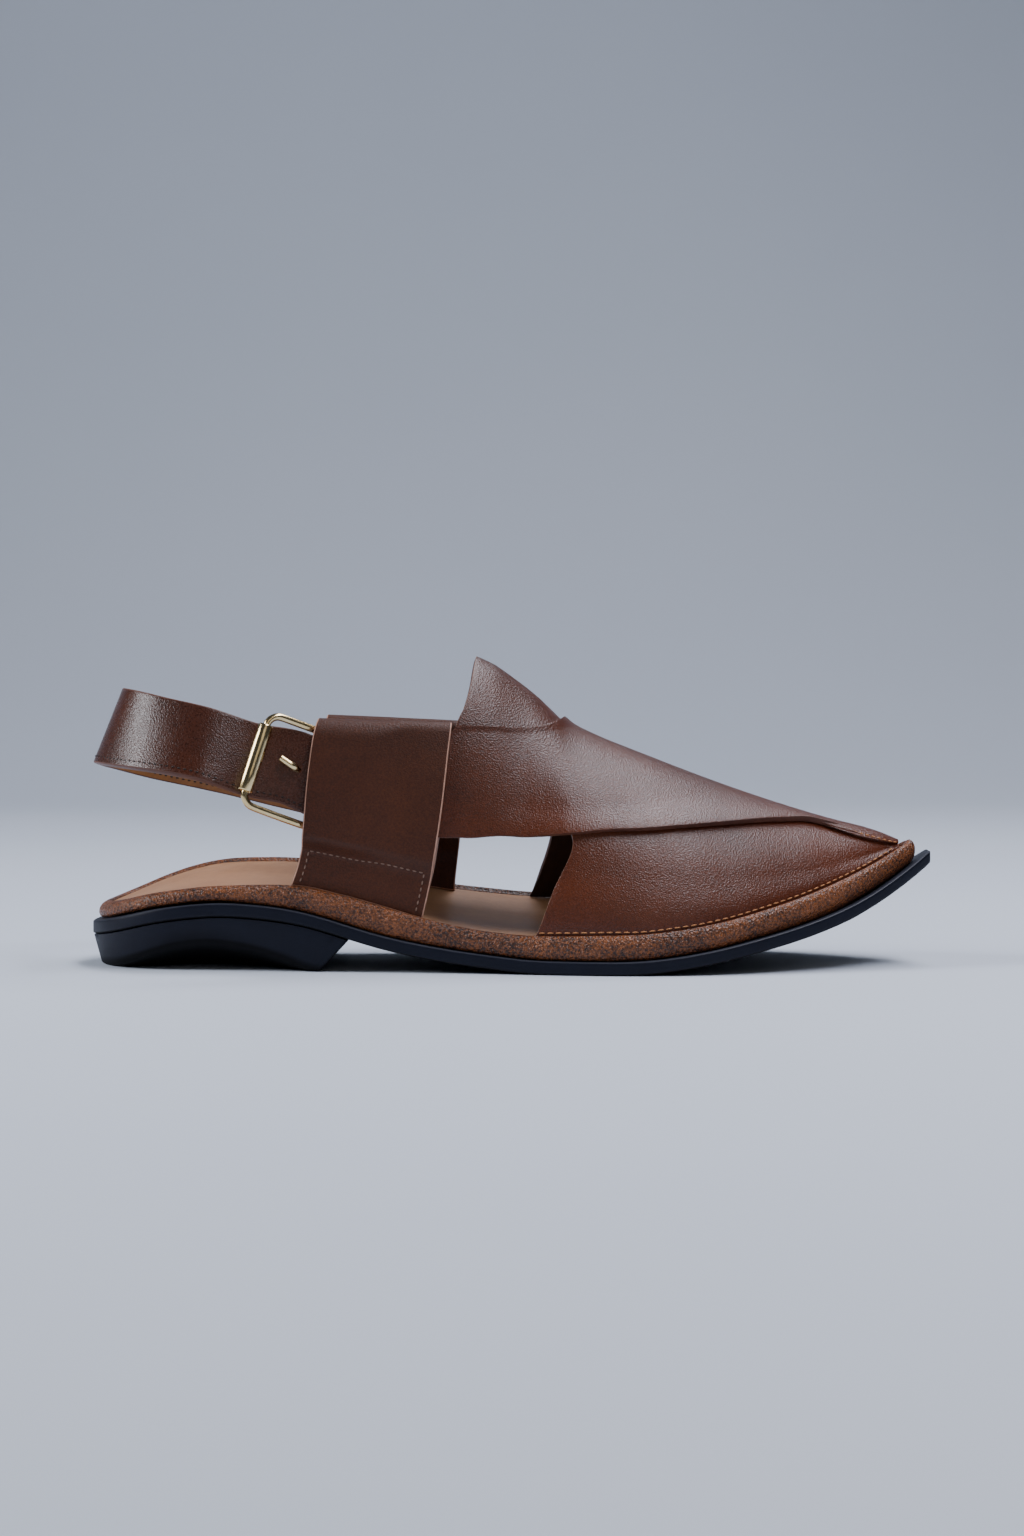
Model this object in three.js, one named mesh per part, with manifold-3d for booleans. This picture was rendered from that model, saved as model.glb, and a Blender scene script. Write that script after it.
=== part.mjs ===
// Peshawari chappal for the right foot, EU size 42, at its real size in millimetres.
// X runs from the heel to the toe, Y from the outer side to the inner side, Z upwards.
// The floor is Z = 0, and the origin lies on the floor under the middle of the heel.

import * as THREE from 'three';
import { mergeVertices } from 'three/addons/utils/BufferGeometryUtils.js';
import Module from 'manifold-3d';

const wasm = await Module();
wasm.setup();

// Driving dimensions
const soleLength = 296;
const ballWidth = 104;
const heelSeat = 19;
const toeSpring = 35;
const outsoleThickness = 4.6;
const sideOverhang = 1.4;
const rearOverhang = 2;
const toeOverhang = 5;
const randHeight = 9;
const beadWidth = 4.4;
const archRise = 10;
const insoleThickness = 2;
const insoleDrop = 1;
const heelRound = 34;
const heelLength = 92;
const breastSlope = 10;
const heelTaper = 3;
const heelArch = 9.2;
const heelInset = 0.3;
const heelFootBevel = 0.6;
const soleBevel = 0.4;
const instepHeight = 108;
const strapWall = 2.2;
const underDepth = 1.4;
const loopSheet = 2;
const loopTop = 87.4;
const outerLoopPuff = 1.2;
const innerLoopPuff = 0.6;
const heelStrapWidth = 26;
const heelStrapWall = 3;
const heelStrapSpan = 33;
const heelStrapHeight = 83.6;
const buckleWire = 2.8;
const buckleInner = 30;
const buckleCorner = 6;
const buckleDrop = 0.35;
const rollerDiameter = 5.4;
const rollerLength = 24;
const prongDiameter = 2.7;
const prongEyeWall = 0.8;
const prongEyeWidth = 3.4;
const prongPlay = 0.7;
const prongHoleReach = 10.5;
const prongHoleLength = 6.2;
const clearance = 0.3;
const loopSlack = 0.8;
const heelRestShare = 0.15;

// Outline of the sole: middle line and half width along its length, as shares of the ball width
const OUTLINE = [
  { at: 0.0, middle: 0.0, half: 0.33 },
  { at: 0.12, middle: -0.002, half: 0.34 },
  { at: 0.25, middle: -0.018, half: 0.35 },
  { at: 0.4, middle: -0.038, half: 0.368 },
  { at: 0.52, middle: -0.038, half: 0.425 },
  { at: 0.6, middle: -0.029, half: 0.475 },
  { at: 0.67, middle: -0.015, half: 0.494 },
  { at: 0.72, middle: -0.004, half: 0.484 },
  { at: 0.78, middle: 0.006, half: 0.442 },
  { at: 0.86, middle: 0.022, half: 0.345 },
  { at: 0.92, middle: 0.032, half: 0.24 },
  { at: 0.965, middle: 0.04, half: 0.145 },
  { at: 1.0, middle: 0.045, half: 0.055 },
];

// Underside of the outsole above the floor: shares of the heel seat and of the toe spring
const UNDERSIDE = [
  { at: 0.0, seat: 0.55, spring: 0 },
  { at: 0.045, seat: 0.72, spring: 0 },
  { at: 0.08, seat: 0.863, spring: 0 },
  { at: 0.115, seat: 0.945, spring: 0 },
  { at: 0.16, seat: 1.0, spring: 0 },
  { at: 0.21, seat: 0.95, spring: 0 },
  { at: 0.255, seat: 0.85, spring: 0 },
  { at: 0.3, seat: 0.65, spring: 0 },
  { at: 0.345, seat: 0.43, spring: 0 },
  { at: 0.39, seat: 0.28, spring: 0 },
  { at: 0.44, seat: 0.15, spring: 0 },
  { at: 0.485, seat: 0.07, spring: 0 },
  { at: 0.53, seat: 0, spring: 0 },
  { at: 0.635, seat: 0, spring: 0 },
  { at: 0.7, seat: 0, spring: 0.057 },
  { at: 0.745, seat: 0, spring: 0.125 },
  { at: 0.78, seat: 0, spring: 0.194 },
  { at: 0.835, seat: 0, spring: 0.31 },
  { at: 0.89, seat: 0, spring: 0.463 },
  { at: 0.92, seat: 0, spring: 0.575 },
  { at: 0.975, seat: 0, spring: 0.85 },
  { at: 1.0, seat: 0, spring: 1.0 },
];

// Rim of the platform: rand height, how far the inner edge rises, and how the bead narrows at the toe
const RIM = [
  { at: 0.0, rand: 0.58, arch: 0.0, bead: 1.0 },
  { at: 0.06, rand: 0.58, arch: 0.25, bead: 1.0 },
  { at: 0.16, rand: 0.62, arch: 0.6, bead: 1.0 },
  { at: 0.24, rand: 0.9, arch: 0.55, bead: 1.0 },
  { at: 0.3, rand: 1.05, arch: 0.6, bead: 1.0 },
  { at: 0.34, rand: 1.12, arch: 0.7, bead: 1.0 },
  { at: 0.4, rand: 0.98, arch: 0.88, bead: 1.0 },
  { at: 0.47, rand: 0.86, arch: 1.0, bead: 1.0 },
  { at: 0.54, rand: 0.92, arch: 0.9, bead: 1.0 },
  { at: 0.63, rand: 0.98, arch: 0.55, bead: 1.0 },
  { at: 0.75, rand: 0.95, arch: 0.15, bead: 1.0 },
  { at: 0.83, rand: 1.02, arch: 0.0, bead: 0.95 },
  { at: 0.9, rand: 1.08, arch: 0.0, bead: 0.8 },
  { at: 0.965, rand: 0.95, arch: 0.0, bead: 0.55 },
  { at: 1.0, rand: 0.82, arch: 0.0, bead: 0.42 },
];

// Cross-section of the rand from its foot over the bead to the recess: shares of bead width and rand height
const RAND_SECTION = [
  { inset: 0.26, height: 0.0 },
  { inset: 0.05, height: 0.2 },
  { inset: 0.0, height: 0.48 },
  { inset: 0.1, height: 0.76 },
  { inset: 0.34, height: 0.95 },
  { inset: 0.62, height: 1.0 },
  { inset: 0.88, height: 0.94 },
];

// Lower edge of the heel's sides, from its rear foot to its breast: share of the arch height
const HEEL_EDGE = [
  { at: 0.0, arch: 0.04 },
  { at: 0.1, arch: 0.16 },
  { at: 0.2, arch: 0.45 },
  { at: 0.31, arch: 0.76 },
  { at: 0.43, arch: 0.97 },
  { at: 0.52, arch: 1.0 },
  { at: 0.61, arch: 0.92 },
  { at: 0.7, arch: 0.78 },
  { at: 0.79, arch: 0.56 },
  { at: 0.88, arch: 0.3 },
  { at: 0.96, arch: 0.07 },
  { at: 1.0, arch: 0.04 },
];

// Last above the insole: ridge height as a share of the instep, its side shift as a share of the ball
// width, and how full each side is, from 1 for a round side to 2 for a flat slope
const LAST = [
  { at: 0.22, ridge: 1.36, shift: 0.0, outer: 1.0, inner: 1.0 },
  { at: 0.34, ridge: 1.22, shift: 0.0, outer: 1.0, inner: 1.0 },
  { at: 0.4, ridge: 1.115, shift: 0.0, outer: 1.0, inner: 1.0 },
  { at: 0.43, ridge: 1.045, shift: 0.0, outer: 1.0, inner: 1.0 },
  { at: 0.46, ridge: 1.0135, shift: 0.002, outer: 1.07, inner: 1.07 },
  { at: 0.482, ridge: 0.985, shift: 0.004, outer: 1.14, inner: 1.14 },
  { at: 0.5, ridge: 0.951, shift: 0.006, outer: 1.19, inner: 1.19 },
  { at: 0.517, ridge: 0.9165, shift: 0.008, outer: 1.215, inner: 1.215 },
  { at: 0.534, ridge: 0.8785, shift: 0.01, outer: 1.21, inner: 1.21 },
  { at: 0.549, ridge: 0.8395, shift: 0.012, outer: 1.185, inner: 1.185 },
  { at: 0.567, ridge: 0.7935, shift: 0.0145, outer: 1.15, inner: 1.15 },
  { at: 0.595, ridge: 0.752, shift: 0.018, outer: 1.16, inner: 1.16 },
  { at: 0.652, ridge: 0.688, shift: 0.024, outer: 1.2, inner: 1.2 },
  { at: 0.772, ridge: 0.564, shift: 0.034, outer: 1.22, inner: 1.22 },
  { at: 0.868, ridge: 0.48, shift: 0.04, outer: 1.2, inner: 1.2 },
  { at: 0.935, ridge: 0.431, shift: 0.043, outer: 1.15, inner: 1.15 },
  { at: 0.965, ridge: 0.398, shift: 0.044, outer: 1.1, inner: 1.1 },
];

// Edges of the two crossed straps on the last, from the sole edge to the end held in the side loop.
// "at" is a share of the sole's length; "around" runs from 0 at the outer sole edge, over the ridge
// at a half, to 1 at the inner sole edge.
const UNDER_STRAP = {
  rear: [
    { along: 0.0, at: 0.5265, around: 0.0 },
    { along: 0.1, at: 0.546, around: 0.0793 },
    { along: 0.2, at: 0.5705, around: 0.1654 },
    { along: 0.27, at: 0.555, around: 0.2103 },
    { along: 0.34, at: 0.486, around: 0.2278 },
    { along: 0.4, at: 0.4375, around: 0.2226 },
    { along: 0.44, at: 0.4352, around: 0.2523 },
    { along: 0.47, at: 0.4392, around: 0.2728 },
    { along: 0.5, at: 0.4455, around: 0.2965 },
    { along: 0.56, at: 0.4545, around: 0.3655 },
    { along: 0.63, at: 0.4595, around: 0.49 },
    { along: 0.7, at: 0.4565, around: 0.6158 },
    { along: 0.76, at: 0.4505, around: 0.7045 },
    { along: 0.82, at: 0.437, around: 0.7894 },
    { along: 0.9, at: 0.4, around: 0.815 },
    { along: 1.0, at: 0.358, around: 0.832 },
  ],
  front: [
    { along: 0.0, at: 0.963, around: 0.0 },
    { along: 0.15, at: 0.963, around: 0.2 },
    { along: 0.3, at: 0.96, around: 0.4 },
    { along: 0.42, at: 0.935, around: 0.58 },
    { along: 0.5, at: 0.88, around: 0.63 },
    { along: 0.6, at: 0.79, around: 0.7 },
    { along: 0.7, at: 0.68, around: 0.77 },
    { along: 0.8, at: 0.56, around: 0.8369 },
    { along: 0.9, at: 0.45, around: 0.8988 },
    { along: 1.0, at: 0.358, around: 0.935 },
  ],
};
const OVER_STRAP = {
  rear: [
    { along: 0.0, at: 0.522, around: 1.0 },
    { along: 0.1, at: 0.534, around: 0.9446 },
    { along: 0.2, at: 0.546, around: 0.8875 },
    { along: 0.3, at: 0.556, around: 0.802 },
    { along: 0.4, at: 0.563, around: 0.6863 },
    { along: 0.5, at: 0.565, around: 0.55 },
    { along: 0.58, at: 0.5595, around: 0.448 },
    { along: 0.65, at: 0.5425, around: 0.3693 },
    { along: 0.72, at: 0.5223, around: 0.3321 },
    { along: 0.79, at: 0.4906, around: 0.2953 },
    { along: 0.86, at: 0.4533, around: 0.2649 },
    { along: 0.89, at: 0.4365, around: 0.2525 },
    { along: 0.91, at: 0.4285, around: 0.238 },
    { along: 0.95, at: 0.4, around: 0.21 },
    { along: 1.0, at: 0.358, around: 0.184 },
  ],
  front: [
    { along: 0.0, at: 0.963, around: 1.0 },
    { along: 0.06, at: 0.963, around: 0.6 },
    { along: 0.12, at: 0.963, around: 0.22 },
    { along: 0.18, at: 0.952, around: 0.25 },
    { along: 0.25, at: 0.937, around: 0.285 },
    { along: 0.33, at: 0.912, around: 0.325 },
    { along: 0.37, at: 0.89, around: 0.37 },
    { along: 0.42, at: 0.86, around: 0.38 },
    { along: 0.48, at: 0.82, around: 0.336 },
    { along: 0.55, at: 0.756, around: 0.28 },
    { along: 0.63, at: 0.673, around: 0.23 },
    { along: 0.7, at: 0.62, around: 0.2048 },
    { along: 0.77, at: 0.56, around: 0.1722 },
    { along: 0.84, at: 0.5, around: 0.145 },
    { along: 0.9, at: 0.441, around: 0.1061 },
    { along: 0.95, at: 0.4, around: 0.09 },
    { along: 1.0, at: 0.358, around: 0.078 },
  ],
};

// Side loops: rear and front edge at each share of the height, as shares of the sole's length
const OUTER_LOOP = [
  { height: 0.0, rear: 0.242, front: 0.396 },
  { height: 0.12, rear: 0.25, front: 0.402 },
  { height: 0.3, rear: 0.257, front: 0.41 },
  { height: 0.6, rear: 0.262, front: 0.42 },
  { height: 0.85, rear: 0.268, front: 0.426 },
  { height: 1.0, rear: 0.274, front: 0.43 },
];
const INNER_LOOP = [
  { height: 0.0, rear: 0.25, front: 0.43 },
  { height: 0.3, rear: 0.262, front: 0.434 },
  { height: 0.6, rear: 0.268, front: 0.437 },
  { height: 1.0, rear: 0.276, front: 0.436 },
];

// Heel strap round the back, from the outer loop to the inner one: place of its middle line as shares
// of the sole's length and of its own span, its height as shares of the loops' top and of its own
// height, its inward lean in degrees, width and wall as shares
const HEEL_STRAP = [
  { at: 0.243, side: -0.935, loop: 0.8016, back: 0, lean: 9, width: 1.0, wall: 0.68 },
  { at: 0.2, side: -0.96, loop: 0.8303, back: 0, lean: 15, width: 1.0, wall: 0.72 },
  { at: 0.14, side: -1.0, loop: 0, back: 0.936, lean: 26, width: 1.03, wall: 1.0 },
  { at: 0.075, side: -0.8, loop: 0, back: 0.978, lean: 26, width: 1.06, wall: 1.0 },
  { at: 0.035, side: -0.42, loop: 0, back: 0.998, lean: 23, width: 1.08, wall: 1.0 },
  { at: 0.023, side: 0.0, loop: 0, back: 0.995, lean: 21, width: 1.09, wall: 1.0 },
  { at: 0.035, side: 0.42, loop: 0, back: 0.97, lean: 18, width: 1.08, wall: 1.0 },
  { at: 0.075, side: 0.8, loop: 0, back: 0.92, lean: 12, width: 1.06, wall: 1.0 },
  { at: 0.14, side: 0.97, loop: 0, back: 0.862, lean: 7, width: 1.03, wall: 1.0 },
  { at: 0.21, side: 0.86, loop: 0.7652, back: 0, lean: 7, width: 1.0, wall: 1.0 },
];

// The strap's ends inside the loops: place along the sole, and height as a share of the loops' top
const HELD_ENDS = {
  outer: [{ at: 0.322, loop: 0.7117 }, { at: 0.288, loop: 0.7365 }],
  inner: [{ at: 0.288, loop: 0.7097 }, { at: 0.322, loop: 0.6887 }],
};

// Reads one column of a table as a smooth curve over its key column, with no overshoot between rows
function curve(table, column, key = 'at') {
  const xs = table.map((row) => row[key]);
  const ys = table.map((row) => row[column]);
  const steps = xs.slice(1).map((x, i) => (ys[i + 1] - ys[i]) / (x - xs[i]));
  const slopes = xs.map((x, i) => {
    if (i === 0) return steps[0];
    if (i === xs.length - 1) return steps[i - 1];
    if (steps[i - 1] * steps[i] <= 0) return 0;
    return (2 * steps[i - 1] * steps[i]) / (steps[i - 1] + steps[i]);
  });
  return (value) => {
    const x = Math.min(Math.max(value, xs[0]), xs[xs.length - 1]);
    let i = 0;
    while (i < xs.length - 2 && x > xs[i + 1]) i += 1;
    const span = xs[i + 1] - xs[i];
    const t = (x - xs[i]) / span;
    const blend = t * t * (3 - 2 * t);
    const lead = t * (1 - t) * (1 - t) * span * slopes[i];
    const tail = t * t * (1 - t) * span * slopes[i + 1];
    return ys[i] + (ys[i + 1] - ys[i]) * blend + lead - tail;
  };
}

const smoothStep = (low, high, value) => THREE.MathUtils.smoothstep(value, low, high);

// Signed volume of a closed triangle mesh
function meshVolume(points, faces) {
  let volume = 0;
  for (const [a, b, c] of faces) {
    volume += points[a].dot(new THREE.Vector3().crossVectors(points[b], points[c])) / 6;
  }
  return volume;
}

// Makes a closed geometry from points and triangles, with its faces pointing out
function closedGeometry(points, faces) {
  const outwards = meshVolume(points, faces) > 0;
  const geometry = new THREE.BufferGeometry().setFromPoints(points);
  geometry.setIndex(faces.flatMap(([a, b, c]) => (outwards ? [a, b, c] : [a, c, b])));
  return geometry;
}

// Turns a closed geometry into a solid for joining and cutting, and back
function toSolid(geometry) {
  const bare = geometry.clone();
  bare.deleteAttribute('normal');
  bare.deleteAttribute('uv');
  const merged = mergeVertices(bare, 1e-4);
  return new wasm.Manifold(new wasm.Mesh({
    numProp: 3,
    vertProperties: new Float32Array(merged.attributes.position.array),
    triVerts: new Uint32Array(merged.index.array),
  }));
}

function fromSolid(solid) {
  const mesh = solid.getMesh();
  const geometry = new THREE.BufferGeometry();
  geometry.setAttribute('position', new THREE.BufferAttribute(mesh.vertProperties, 3));
  geometry.setIndex(new THREE.BufferAttribute(mesh.triVerts, 1));
  return geometry;
}

// Sole surfaces
const middleShare = curve(OUTLINE, 'middle');
const halfShare = curve(OUTLINE, 'half');
const seatShare = curve(UNDERSIDE, 'seat');
const springShare = curve(UNDERSIDE, 'spring');
const randShare = curve(RIM, 'rand');
const archShare = curve(RIM, 'arch');
const beadShare = curve(RIM, 'bead');

const undersideAt = (x) => heelSeat * seatShare(x / soleLength) + toeSpring * springShare(x / soleLength);
const outsoleTopAt = (x) => undersideAt(x) + outsoleThickness;

// Half width of the outline, drawn in by the overhang of the outsole and by a depth inside the rand
function halfWidthAt(share, depth) {
  const bare = ballWidth * halfShare(share);
  return depth === null ? bare : bare - sideOverhang - depth * beadShare(share);
}

// Closing factor of the round heel end, which leaves a short straight edge at the very back
const HEEL_FLAT = 0.12;
function heelClosing(share) {
  const reach = Math.min((share * soleLength) / heelRound, 1);
  return Math.max(Math.sqrt(1 - (1 - reach) ** 2), HEEL_FLAT);
}

// Place along the sole of a station on an outline that is drawn in at the rear and the toe
function stationX(share, depth) {
  if (depth === null) return share * soleLength;
  const rear = rearOverhang + depth;
  const toe = soleLength - toeOverhang - depth;
  return rear + share * (toe - rear);
}

function shareAtX(x, depth) {
  const rear = stationX(0, depth);
  return THREE.MathUtils.clamp((x - rear) / (stationX(1, depth) - rear), 0, 1);
}

// Height of the rand's bead, which rises towards the inner side of the waist
function randTopAt(x, y) {
  const share = x / soleLength;
  const half = halfWidthAt(share, 0);
  const across = THREE.MathUtils.clamp((y - ballWidth * middleShare(share) + half) / (2 * half), 0, 1);
  return outsoleTopAt(x) + clearance + randHeight * randShare(share)
    + archRise * archShare(share) * across * across;
}

const insoleTopAt = (x, y) => randTopAt(x, y) - insoleDrop;

// Share of the way from heel to toe for each station: closer together at both ends
function stationShares(count) {
  return Array.from({ length: count }, (_, i) => {
    const even = i / (count - 1);
    return 0.35 * even + 0.65 * (1 - Math.cos(Math.PI * even)) / 2;
  });
}

// Closed loop in plan: outer side to the toe, across it, inner side back to the heel, across it
function planRing({ shares, across, placeAt, heightAt }) {
  const outer = shares.map((share) => placeAt(share, -1));
  const inner = shares.map((share) => placeAt(share, 1));
  const bridge = (from, to) => Array.from({ length: across - 1 }, (_, i) =>
    new THREE.Vector3().lerpVectors(from, to, (i + 1) / across));
  const last = shares.length - 1;
  const ring = [
    ...outer,
    ...bridge(outer[last], inner[last]),
    ...inner.slice().reverse(),
    ...bridge(inner[0], outer[0]),
  ];
  for (const point of ring) point.z = heightAt(point.x, point.y);
  return ring;
}

// Solid between plan rings, listed from the bottom cap round the outside to the top cap
function ringSolid({ rings, stations, across, bottomAt, topAt }) {
  const points = rings.flat();
  const size = rings[0].length;
  const faces = [];
  for (let r = 0; r < rings.length - 1; r += 1) {
    for (let i = 0; i < size; i += 1) {
      const next = (i + 1) % size;
      const a = r * size + i;
      const b = r * size + next;
      faces.push([a, b, b + size], [a, b + size, a + size]);
    }
  }
  const capEnd = (first, heightAt, upwards) => {
    const grid = [];
    for (let i = 0; i < stations; i += 1) {
      const row = [first + i];
      const innerIndex = first + 2 * stations + across - 2 - i;
      for (let j = 1; j < across; j += 1) {
        if (i === 0) row.push(first + size - j);
        else if (i === stations - 1) row.push(first + stations - 1 + j);
        else {
          const point = new THREE.Vector3().lerpVectors(points[first + i], points[innerIndex], j / across);
          point.z = heightAt(point.x, point.y);
          row.push(points.push(point) - 1);
        }
      }
      row.push(innerIndex);
      grid.push(row);
    }
    for (let i = 0; i < stations - 1; i += 1) {
      for (let j = 0; j < across; j += 1) {
        const [a, b] = [grid[i][j], grid[i + 1][j]];
        const [c, d] = [grid[i + 1][j + 1], grid[i][j + 1]];
        if (upwards) faces.push([a, b, c], [a, c, d]);
        else faces.push([a, c, b], [a, d, c]);
      }
    }
  };
  capEnd(0, bottomAt, false);
  capEnd((rings.length - 1) * size, topAt, true);
  return closedGeometry(points, faces);
}

const SOLE_STATIONS = 36;
const SOLE_ACROSS = 4;
const soleShares = stationShares(SOLE_STATIONS);

// Ring round the whole sole at a depth inside the rand, or on the bare outsole when depth is null
function soleRing(depth, heightAt, trim = 0) {
  return planRing({
    shares: soleShares,
    across: SOLE_ACROSS,
    heightAt,
    placeAt: (share, side) => {
      const half = (halfWidthAt(share, depth) - trim) * heelClosing(share);
      const x = stationX(share, depth) + trim * (1 - 2 * share);
      return new THREE.Vector3(x, ballWidth * middleShare(share) + side * half, 0);
    },
  });
}

// Heel lift: tapered sides, an inclined breast, and sides undercut by a long arch so that the middle,
// the rear edge and the breast stand on the floor
function makeHeel() {
  const stations = 20;
  const undercut = 2.4;
  const shares = stationShares(stations);
  const edgeShare = curve(HEEL_EDGE, 'arch');
  const layer = ({ rear, front, inset, heightAt }) => planRing({
    shares,
    across: SOLE_ACROSS,
    heightAt,
    placeAt: (share, side) => {
      const outlineX = share * heelLength;
      const half = (halfWidthAt(outlineX / soleLength, null) - inset(share)) * heelClosing(outlineX / soleLength);
      const x = rear + share * (front - rear);
      return new THREE.Vector3(x, ballWidth * middleShare(outlineX / soleLength) + side * half, 0);
    },
  });
  const foot = heelLength - breastSlope;
  const footShare = (x) => THREE.MathUtils.clamp((x - heelTaper) / (foot - heelTaper), 0, 1);
  const seat = (x) => undersideAt(x) - clearance;
  return ringSolid({
    stations,
    across: SOLE_ACROSS,
    rings: [
      layer({
        rear: heelTaper + heelFootBevel,
        front: foot - heelFootBevel,
        inset: (share) => heelTaper + heelFootBevel + undercut * heelArch * edgeShare(share),
        heightAt: () => 0,
      }),
      layer({
        rear: heelTaper,
        front: foot,
        inset: () => heelTaper,
        heightAt: (x) => heelArch * edgeShare(footShare(x)),
      }),
      layer({ rear: heelInset, front: heelLength, inset: () => heelInset, heightAt: seat }),
    ],
    bottomAt: () => 0,
    topAt: seat,
  });
}

function makeOutsole() {
  return ringSolid({
    stations: SOLE_STATIONS,
    across: SOLE_ACROSS,
    rings: [
      soleRing(null, undersideAt, soleBevel),
      soleRing(null, (x) => undersideAt(x) + soleBevel),
      soleRing(null, (x) => outsoleTopAt(x) - soleBevel),
      soleRing(null, outsoleTopAt, soleBevel),
    ],
    bottomAt: undersideAt,
    topAt: outsoleTopAt,
  });
}

// Platform wrapped in leather: a puffed rand all round and a recess that takes the insole
function makeMidsole() {
  const footAt = (x) => outsoleTopAt(x) + clearance;
  const recessAt = (x, y) => insoleTopAt(x, y) - insoleThickness - clearance;
  const rings = RAND_SECTION.map((row) => soleRing(row.inset * beadWidth, (x, y) =>
    footAt(x) + row.height * (randTopAt(x, y) - footAt(x))));
  rings.push(soleRing(beadWidth, insoleTopAt));
  rings.push(soleRing(beadWidth, recessAt));
  return ringSolid({
    stations: SOLE_STATIONS,
    across: SOLE_ACROSS,
    rings,
    bottomAt: footAt,
    topAt: recessAt,
  });
}

function makeInsole() {
  const depth = beadWidth + clearance;
  const bottomAt = (x, y) => insoleTopAt(x, y) - insoleThickness;
  return ringSolid({
    stations: SOLE_STATIONS,
    across: SOLE_ACROSS,
    rings: [soleRing(depth, bottomAt), soleRing(depth, insoleTopAt)],
    bottomAt,
    topAt: insoleTopAt,
  });
}

// Last: the surface that the outer faces of the straps lie on
const ridgeShare = curve(LAST, 'ridge');
const shiftShare = curve(LAST, 'shift');
const outerFull = curve(LAST, 'outer');
const innerFull = curve(LAST, 'inner');
const FEATHER_DEPTH = beadWidth + clearance;
const FEATHER_LIFT = clearance + 0.1;

// Foot of the last on the insole, at the outer side (-1) or the inner side (+1)
function featherPoint(x, side) {
  const share = shareAtX(x, FEATHER_DEPTH);
  const y = ballWidth * middleShare(share) + side * halfWidthAt(share, FEATHER_DEPTH);
  return new THREE.Vector3(x, y, insoleTopAt(x, y) + FEATHER_LIFT);
}

function lastPoint(x, around) {
  const side = around < 0.5 ? -1 : 1;
  const share = x / soleLength;
  const full = side < 0 ? outerFull(share) : innerFull(share);
  const turn = Math.PI * Math.min(around, 1 - around);
  const foot = featherPoint(x, side);
  const ridge = instepHeight * ridgeShare(share);
  const shift = ballWidth * shiftShare(share);
  return new THREE.Vector3(
    x,
    shift + (foot.y - shift) * Math.max(Math.cos(turn), 0) ** full,
    foot.z + (ridge - foot.z) * Math.sin(turn) ** full,
  );
}

function lastNormal(x, around) {
  const probe = 0.012;
  const low = Math.max(around - probe, 0);
  const high = Math.min(around + probe, 1);
  const girth = lastPoint(x, high).sub(lastPoint(x, low));
  const length = lastPoint(x + 1, around).sub(lastPoint(x - 1, around));
  return length.cross(girth).normalize();
}

// Point at an offset from the last, whose lowest edge stays level just above the insole
const LEVEL_EDGE = 0.06;
function skinPoint(x, around, offset) {
  const normal = lastNormal(x, around);
  const edge = Math.min(around, 1 - around);
  const settle = smoothStep(0, LEVEL_EDGE, edge);
  normal.z *= settle;
  normal.x *= settle;
  normal.normalize();
  const point = lastPoint(x, around).addScaledVector(normal, offset);
  if (edge === 0) point.z = insoleTopAt(point.x, point.y) + FEATHER_LIFT;
  return point;
}

// Place round the last that has a height, on the outer side (-1) or the inner side (+1)
function aroundAt(x, z, side) {
  const share = x / soleLength;
  const full = side < 0 ? outerFull(share) : innerFull(share);
  const foot = featherPoint(x, side);
  const rise = THREE.MathUtils.clamp((z - foot.z) / (instepHeight * ridgeShare(share) - foot.z), 0, 1);
  const turn = Math.asin(rise ** (1 / full)) / Math.PI;
  return side < 0 ? turn : 1 - turn;
}

// The leather grows thin towards the narrow toe: largest wall as shares of the room across and upwards
const TOE_ROOM = { across: 0.16, up: 0.34 };
function wallScaleAt(x) {
  const outer = featherPoint(x, -1);
  const inner = featherPoint(x, 1);
  const rise = instepHeight * ridgeShare(x / soleLength) - Math.max(outer.z, inner.z);
  const room = Math.min(TOE_ROOM.across * (inner.y - outer.y), TOE_ROOM.up * rise);
  return Math.min(1, room / strapWall);
}

// Closed sheet between an outer and an inner face, both given over the unit square
function sheetGeometry(columns, rows, outerAt, innerAt) {
  const points = [];
  const index = [[], []];
  [outerAt, innerAt].forEach((faceAt, layer) => {
    for (let i = 0; i <= columns; i += 1) {
      index[layer].push([]);
      for (let j = 0; j <= rows; j += 1) {
        index[layer][i].push(points.push(faceAt(i / columns, j / rows)) - 1);
      }
    }
  });
  const faces = [];
  const quad = (a, b, c, d) => faces.push([a, b, c], [a, c, d]);
  const [top, base] = index;
  for (let i = 0; i < columns; i += 1) {
    for (let j = 0; j < rows; j += 1) {
      quad(top[i][j], top[i + 1][j], top[i + 1][j + 1], top[i][j + 1]);
      quad(base[i][j], base[i][j + 1], base[i + 1][j + 1], base[i + 1][j]);
    }
    quad(top[i + 1][0], top[i][0], base[i][0], base[i + 1][0]);
    quad(top[i][rows], top[i + 1][rows], base[i + 1][rows], base[i][rows]);
  }
  for (let j = 0; j < rows; j += 1) {
    quad(top[0][j], top[0][j + 1], base[0][j + 1], base[0][j]);
    quad(top[columns][j + 1], top[columns][j], base[columns][j], base[columns][j + 1]);
  }
  return closedGeometry(points, faces);
}

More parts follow.
